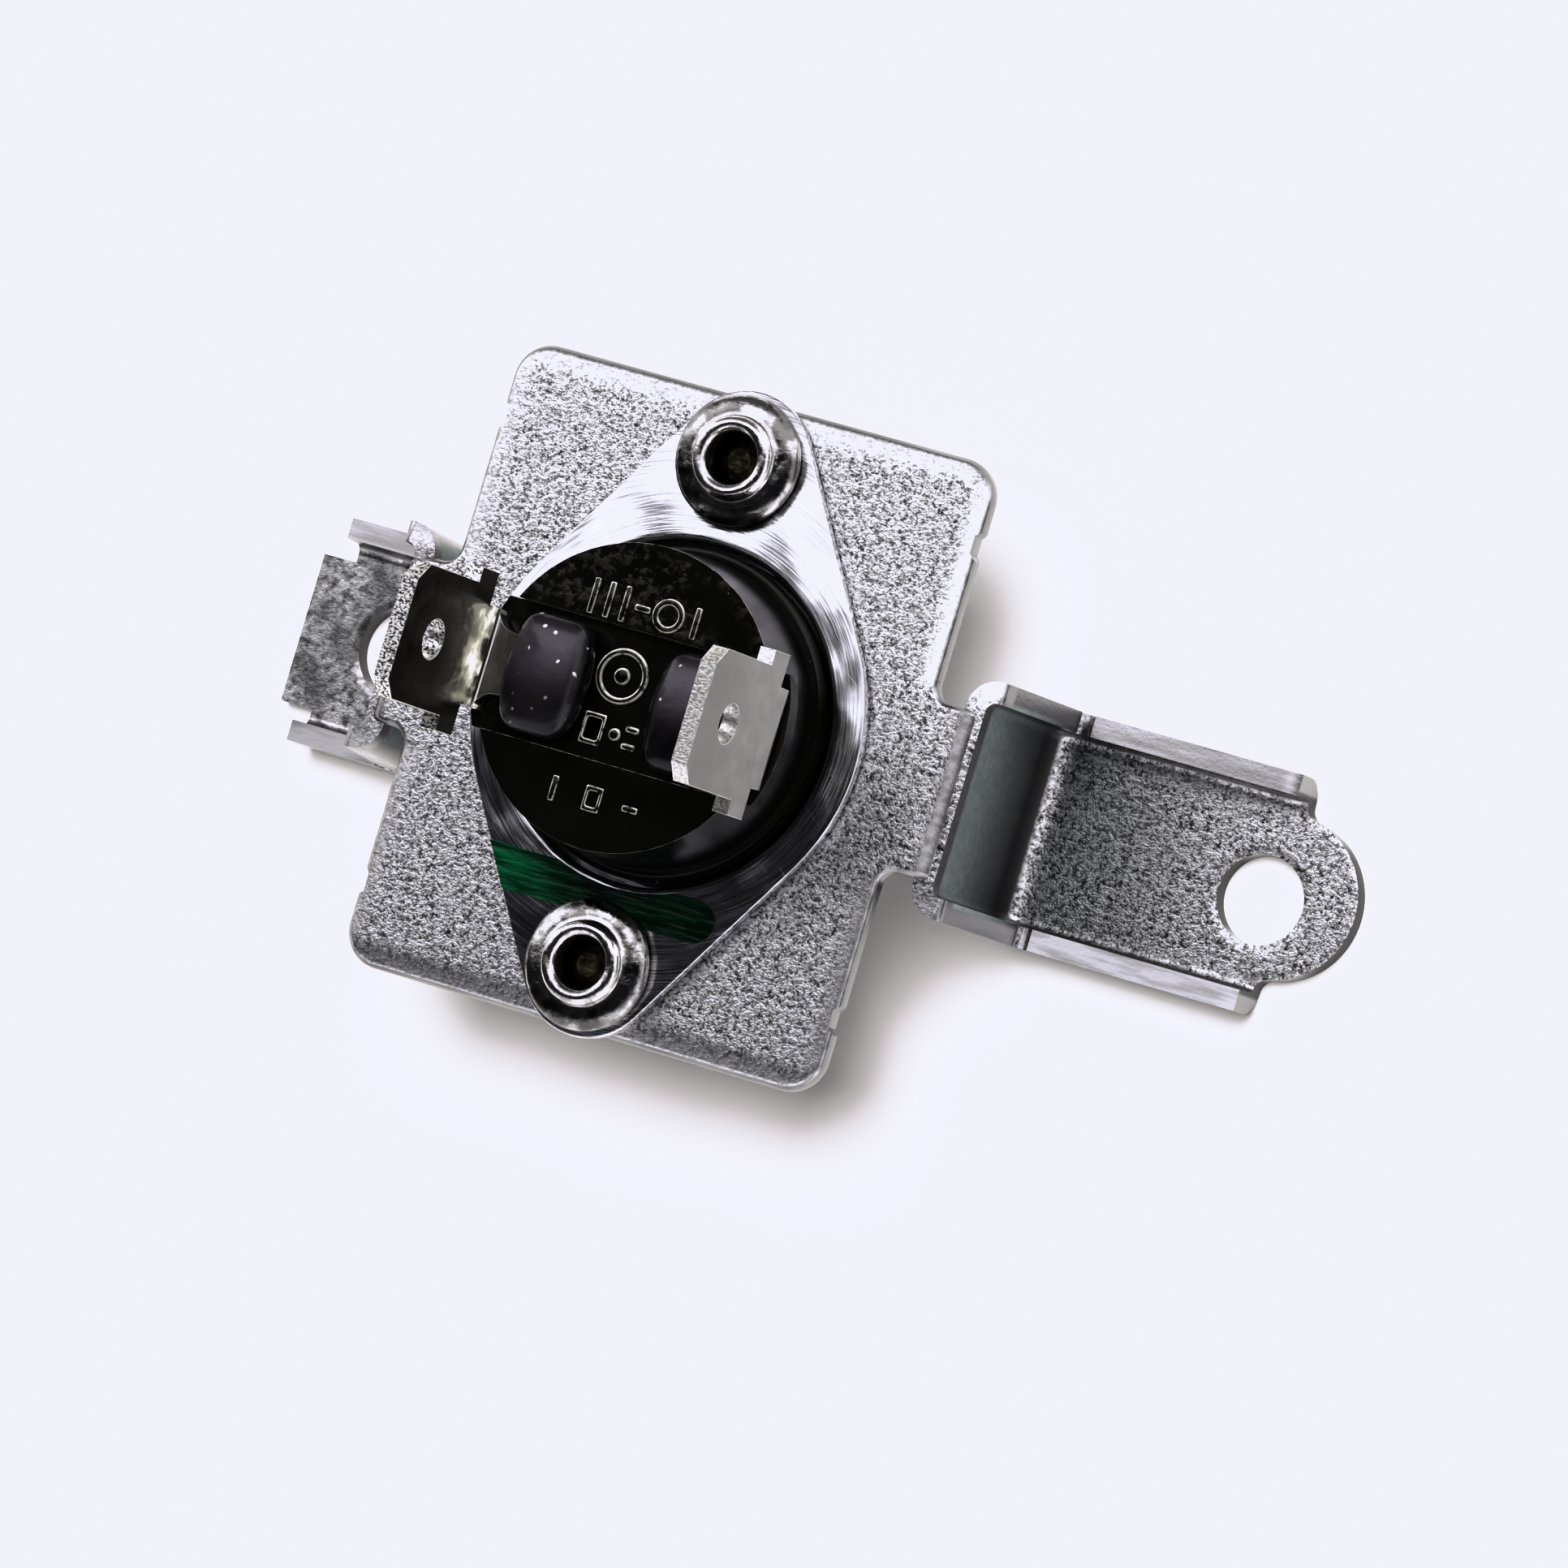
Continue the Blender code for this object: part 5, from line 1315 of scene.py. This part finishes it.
def model_resin(name, side):
    """A blob of resin over a terminal foot and its rivet head, crowned and narrower at its ends."""
    size = RESIN_HIGH - RESIN_LOW
    deselect()
    bpy.ops.mesh.primitive_cube_add(size=1.0, location=(0.0, 0.0, 0.0))
    blob = bpy.context.active_object
    blob.name = name
    blob.data.name = name
    blob.scale = size
    bpy.ops.object.transform_apply(scale=True)
    edit_edges(blob, lambda edge: True)
    bpy.ops.mesh.bevel(offset=RESIN_EDGE, segments=3, affect="EDGES")
    bpy.ops.object.mode_set(mode="OBJECT")
    apply_modifier(blob, "SUBSURF", levels=3, render_levels=3)
    for vertex in blob.data.vertices:
        across, along = (2.0 * abs(part) / whole for part, whole in zip(vertex.co.xy, size.xy))
        if vertex.co.z > 0.0:
            vertex.co.z *= 1.0 - RESIN_CROWN * min(1.0, across ** 2.0 * 0.8 + along ** 2.0)
        vertex.co.x *= 1.0 - RESIN_NARROWING * along ** 2
    move(blob, (side * POST_X, 0.0, (RESIN_LOW.z + RESIN_HIGH.z) / 2.0))
    return blob


class ThermostatResin(bpy.types.Operator):
    """Model the resin over the terminal rivets"""

    bl_idname = "thermostat.resin"
    bl_label = "Resin"

    def execute(self, context):
        finish = resin_finish()
        for name, side in (("left", -1), ("right", 1)):
            dress(model_resin("resin_blob_" + name, side), finish, "grey_resin", "resin_seal_" + name)
        return {"FINISHED"}


class ThermostatStripe(bpy.types.Operator):
    """Lay the green paint stripe on the flange"""

    bl_idname = "thermostat.stripe"
    bl_label = "Paint stripe"

    def execute(self, context):
        film = context.scene.thermostat_sizes.paint_film
        low, high = STRIPE_LOW_Y, STRIPE_HIGH_Y
        middle, half = (low + high) / 2.0, (high - low) / 2.0
        outline = [(STRIPE_START_X, high), (STRIPE_START_X, low)]
        outline += arc((STRIPE_END_X, middle), half, -90.0, 90.0)
        paint = slab("paint_stripe", outline, FLANGE_TOP - film, FLANGE_TOP + film)
        edge = slab("edge", oval_outline(), FLANGE_TOP - REACH, FLANGE_TOP + REACH)
        combine(paint, edge, "INTERSECT")
        bore = slab("bore", circle((0.0, 0.0), STRIPE_BORE, 120), FLANGE_TOP - REACH, FLANGE_TOP + REACH)
        combine(paint, bore, "DIFFERENCE")
        dress(paint, stripe_finish(), "spun_aluminium")
        return {"FINISHED"}


class ThermostatInside(bpy.types.Operator):
    """Finish the pieces inside the body"""

    bl_idname = "thermostat.inside"
    bl_label = "Inner parts"

    def execute(self, context):
        brass = pressed_finish("brass", (0.72, 0.55, 0.26), 1.0, 0.18, 0.38)
        silver = pressed_finish("contact_silver", (0.86, 0.85, 0.82), 1.0, 0.12, 0.28)
        finishes = {
            "terminal_rivet_left": brass,
            "terminal_rivet_right": brass,
            "fixed_contact_plate": brass,
            "arm_carrier": brass,
            "fixed_contact": silver,
            "moving_contact": silver,
            "contact_arm": pressed_finish("spring_bronze", (0.62, 0.42, 0.25), 1.0, 0.16, 0.30),
            "striker_pin": pressed_finish("white_ceramic", (0.86, 0.84, 0.79), 0.0, 0.35, 0.55),
            "guide_plate": pressed_finish("moulded_guide", (0.10, 0.08, 0.07), 0.0, 0.40, 0.60),
            "bimetal_disc": pressed_finish("bimetal_sheet", (0.55, 0.52, 0.47), 1.0, 0.20, 0.34),
        }
        for name, finish in finishes.items():
            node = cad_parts[name]
            node.data.materials.clear()
            node.data.materials.append(finish)
        return {"FINISHED"}


# Stage

VIEW_DISTANCE = 0.550
VIEW_ANGLES = (-1.563, -22.352, -16.080)
VIEW_OFFSET = (-0.003871, 0.002654)
VIEW_SCALE = 26828.0
FLOOR_SIZE = 3.0

# The main light, its aim as seen in the view, and the room round it
KEY_AIM = (-0.22, 0.34, 0.915)
KEY_STRENGTH = 4.3
KEY_SPREAD = 40.0
KEY_COLOUR = (1.0, 0.99, 0.98)
ROOM_DARK = (0.045, 0.045, 0.050)
ROOM_LIGHT = (2.42, 2.37, 2.48)
MATT_LOSS = 0.82

# Light and the tone shown for it; the floor's tone is held between its two lights
WHITE_LEVEL = 2.0
TONE_POINTS = ((0.05, 0.018), (0.20, 0.13), (0.50, 0.45))
FLOOR_LIGHTS = (0.90, 1.40)
FLOOR_TONES = (0.878, 0.878, 0.953)
FLOOR_TONE_RISE = 0.01


def view_rotation():
    """World to camera: turns about X, then Y, then Z."""
    ax, ay, az = (math.radians(angle) for angle in VIEW_ANGLES)
    return Matrix.Rotation(az, 3, "Z") @ Matrix.Rotation(ay, 3, "Y") @ Matrix.Rotation(ax, 3, "X")


def place_camera():
    """The camera at the photograph's angle and distance."""
    turn = view_rotation()
    shift = Vector((VIEW_OFFSET[0], VIEW_OFFSET[1], -VIEW_DISTANCE))
    data = bpy.data.cameras.new("camera")
    data.sensor_width = SENSOR
    data.sensor_fit = "HORIZONTAL"
    data.lens = VIEW_SCALE * VIEW_DISTANCE / PHOTO_PIXELS * SENSOR
    data.clip_start = 0.01
    data.clip_end = 10.0
    camera = bpy.data.objects.new("camera", data)
    bpy.context.scene.collection.objects.link(camera)
    camera.matrix_world = Matrix.Translation(-(turn.transposed() @ shift)) @ turn.transposed().to_4x4()
    bpy.context.scene.camera = camera


def surroundings():
    """Plain studio room, lighter above, beside and below the view, and faint on matt surfaces."""
    right, up, _ = (tuple(row) for row in view_rotation().row)
    world = bpy.data.worlds.new("studio")
    world.use_nodes = True
    bpy.context.scene.world = world
    nodes = Nodes(world.node_tree)
    direction = nodes.node("ShaderNodeTexCoord", output="Generated")
    rise = nodes.vector("DOT_PRODUCT", direction, up, output="Value")
    aside = nodes.vector("DOT_PRODUCT", direction, right, output="Value")
    above = rise.between(0.25, 0.48) * (1.0 - rise.between(0.62, 0.80) * 0.93)
    beside = aside.between(0.05, 0.40) * (1.0 - aside.between(0.62, 0.80) * 0.93)
    below = 1.0 - rise.between(-0.60, -0.25)
    room = nodes.mix(above + beside * 0.6 + below * 0.5, ROOM_DARK, ROOM_LIGHT)
    background = world.node_tree.nodes["Background"]
    nodes.feed(background.inputs["Color"], room)
    matt = nodes.node("ShaderNodeLightPath", output="Is Diffuse Ray")
    nodes.feed(background.inputs["Strength"], 1.0 - matt * MATT_LOSS)


def add_key_light():
    """Even light from a wide panel far away, which leaves no glint on shiny surfaces."""
    toward = sum((axis * part for axis, part in zip(view_rotation().row, KEY_AIM)), Vector())
    data = bpy.data.lights.new("key", "SUN")
    data.energy = KEY_STRENGTH
    data.angle = math.radians(KEY_SPREAD)
    data.color = KEY_COLOUR
    light = bpy.data.objects.new("key", data)
    bpy.context.scene.collection.objects.link(light)
    light.rotation_euler = toward.to_track_quat("Z", "Y").to_euler()
    light.visible_glossy = False


def set_tones(view):
    """A steeper tone curve that holds the floor just under white, a little bluer than neutral."""
    view.view_transform = "Standard"
    view.use_curve_mapping = True
    tones = view.curve_mapping
    tones.white_level = (WHITE_LEVEL,) * 3
    for curve, floor_tone in zip(tones.curves, FLOOR_TONES):
        curve.points[0].location = (0.0, 0.0)
        curve.points[1].location = (1.0, 1.0)
        floor_points = zip(FLOOR_LIGHTS, (floor_tone, floor_tone + FLOOR_TONE_RISE))
        for light, tone in (*TONE_POINTS, *floor_points):
            curve.points.new(light / WHITE_LEVEL, tone)
    tones.update()


def floor_finish():
    """Pale card with the faintest mottling."""
    finish = Finish("pale_floor")
    base = colour_of("floor")
    cloud = finish.noise(finish.place(), 6.0, 2.0)
    colour = finish.mix(cloud, base, shade(base, 1.01))
    finish.shader.inputs["Specular IOR Level"].default_value = 0.1
    finish.shader.inputs["Emission Strength"].default_value = 0.06
    return finish.set(Base_Color=shade(base, 0.95), Emission_Color=colour, Roughness=cloud * 0.1 + 0.75)


class ThermostatStage(bpy.types.Operator):
    """Set the floor, the lights and the camera"""

    bl_idname = "thermostat.stage"
    bl_label = "Stage"

    def execute(self, context):
        deselect()
        bpy.ops.mesh.primitive_plane_add(size=FLOOR_SIZE, location=(0.0, 0.0, FOOT_UNDER))
        floor = context.active_object
        floor.name = "floor"
        floor.data.materials.append(floor_finish())
        surroundings()
        add_key_light()
        set_tones(context.scene.view_settings)
        place_camera()
        return {"FINISHED"}


class ThermostatPanel(bpy.types.Panel):
    """Lists the pieces in the sidebar"""

    bl_idname = "VIEW3D_PT_thermostat"
    bl_label = "Thermostat"
    bl_space_type = "VIEW_3D"
    bl_region_type = "UI"
    bl_category = "Thermostat"

    def draw(self, context):
        for group in (context.scene.thermostat_sizes, context.scene.thermostat_colours):
            for name in group.__annotations__:
                self.layout.prop(group, name)
        for operator in OPERATORS:
            self.layout.operator(operator.bl_idname)


OPERATORS = (
    ThermostatBracket,
    ThermostatCap,
    ThermostatRivets,
    ThermostatBody,
    ThermostatTerminals,
    ThermostatResin,
    ThermostatStripe,
    ThermostatInside,
    ThermostatStage,
)
CLASSES = (ThermostatSizes, ThermostatColours) + OPERATORS + (ThermostatPanel,)


def register():
    """Make the settings, operators and panel known to Blender."""
    for item in CLASSES:
        bpy.utils.register_class(item)
    bpy.types.Scene.thermostat_sizes = PointerProperty(type=ThermostatSizes)
    bpy.types.Scene.thermostat_colours = PointerProperty(type=ThermostatColours)


def unregister():
    """Take them away again."""
    del bpy.types.Scene.thermostat_colours
    del bpy.types.Scene.thermostat_sizes
    for item in reversed(CLASSES):
        bpy.utils.unregister_class(item)


def main():
    """Build every piece and the stage."""
    register()
    bpy.ops.thermostat.bracket()
    bpy.ops.thermostat.cap()
    bpy.ops.thermostat.rivets()
    bpy.ops.thermostat.body()
    bpy.ops.thermostat.terminals()
    bpy.ops.thermostat.resin()
    bpy.ops.thermostat.stripe()
    bpy.ops.thermostat.inside()
    bpy.ops.thermostat.stage()


if __name__ == "__main__":
    main()
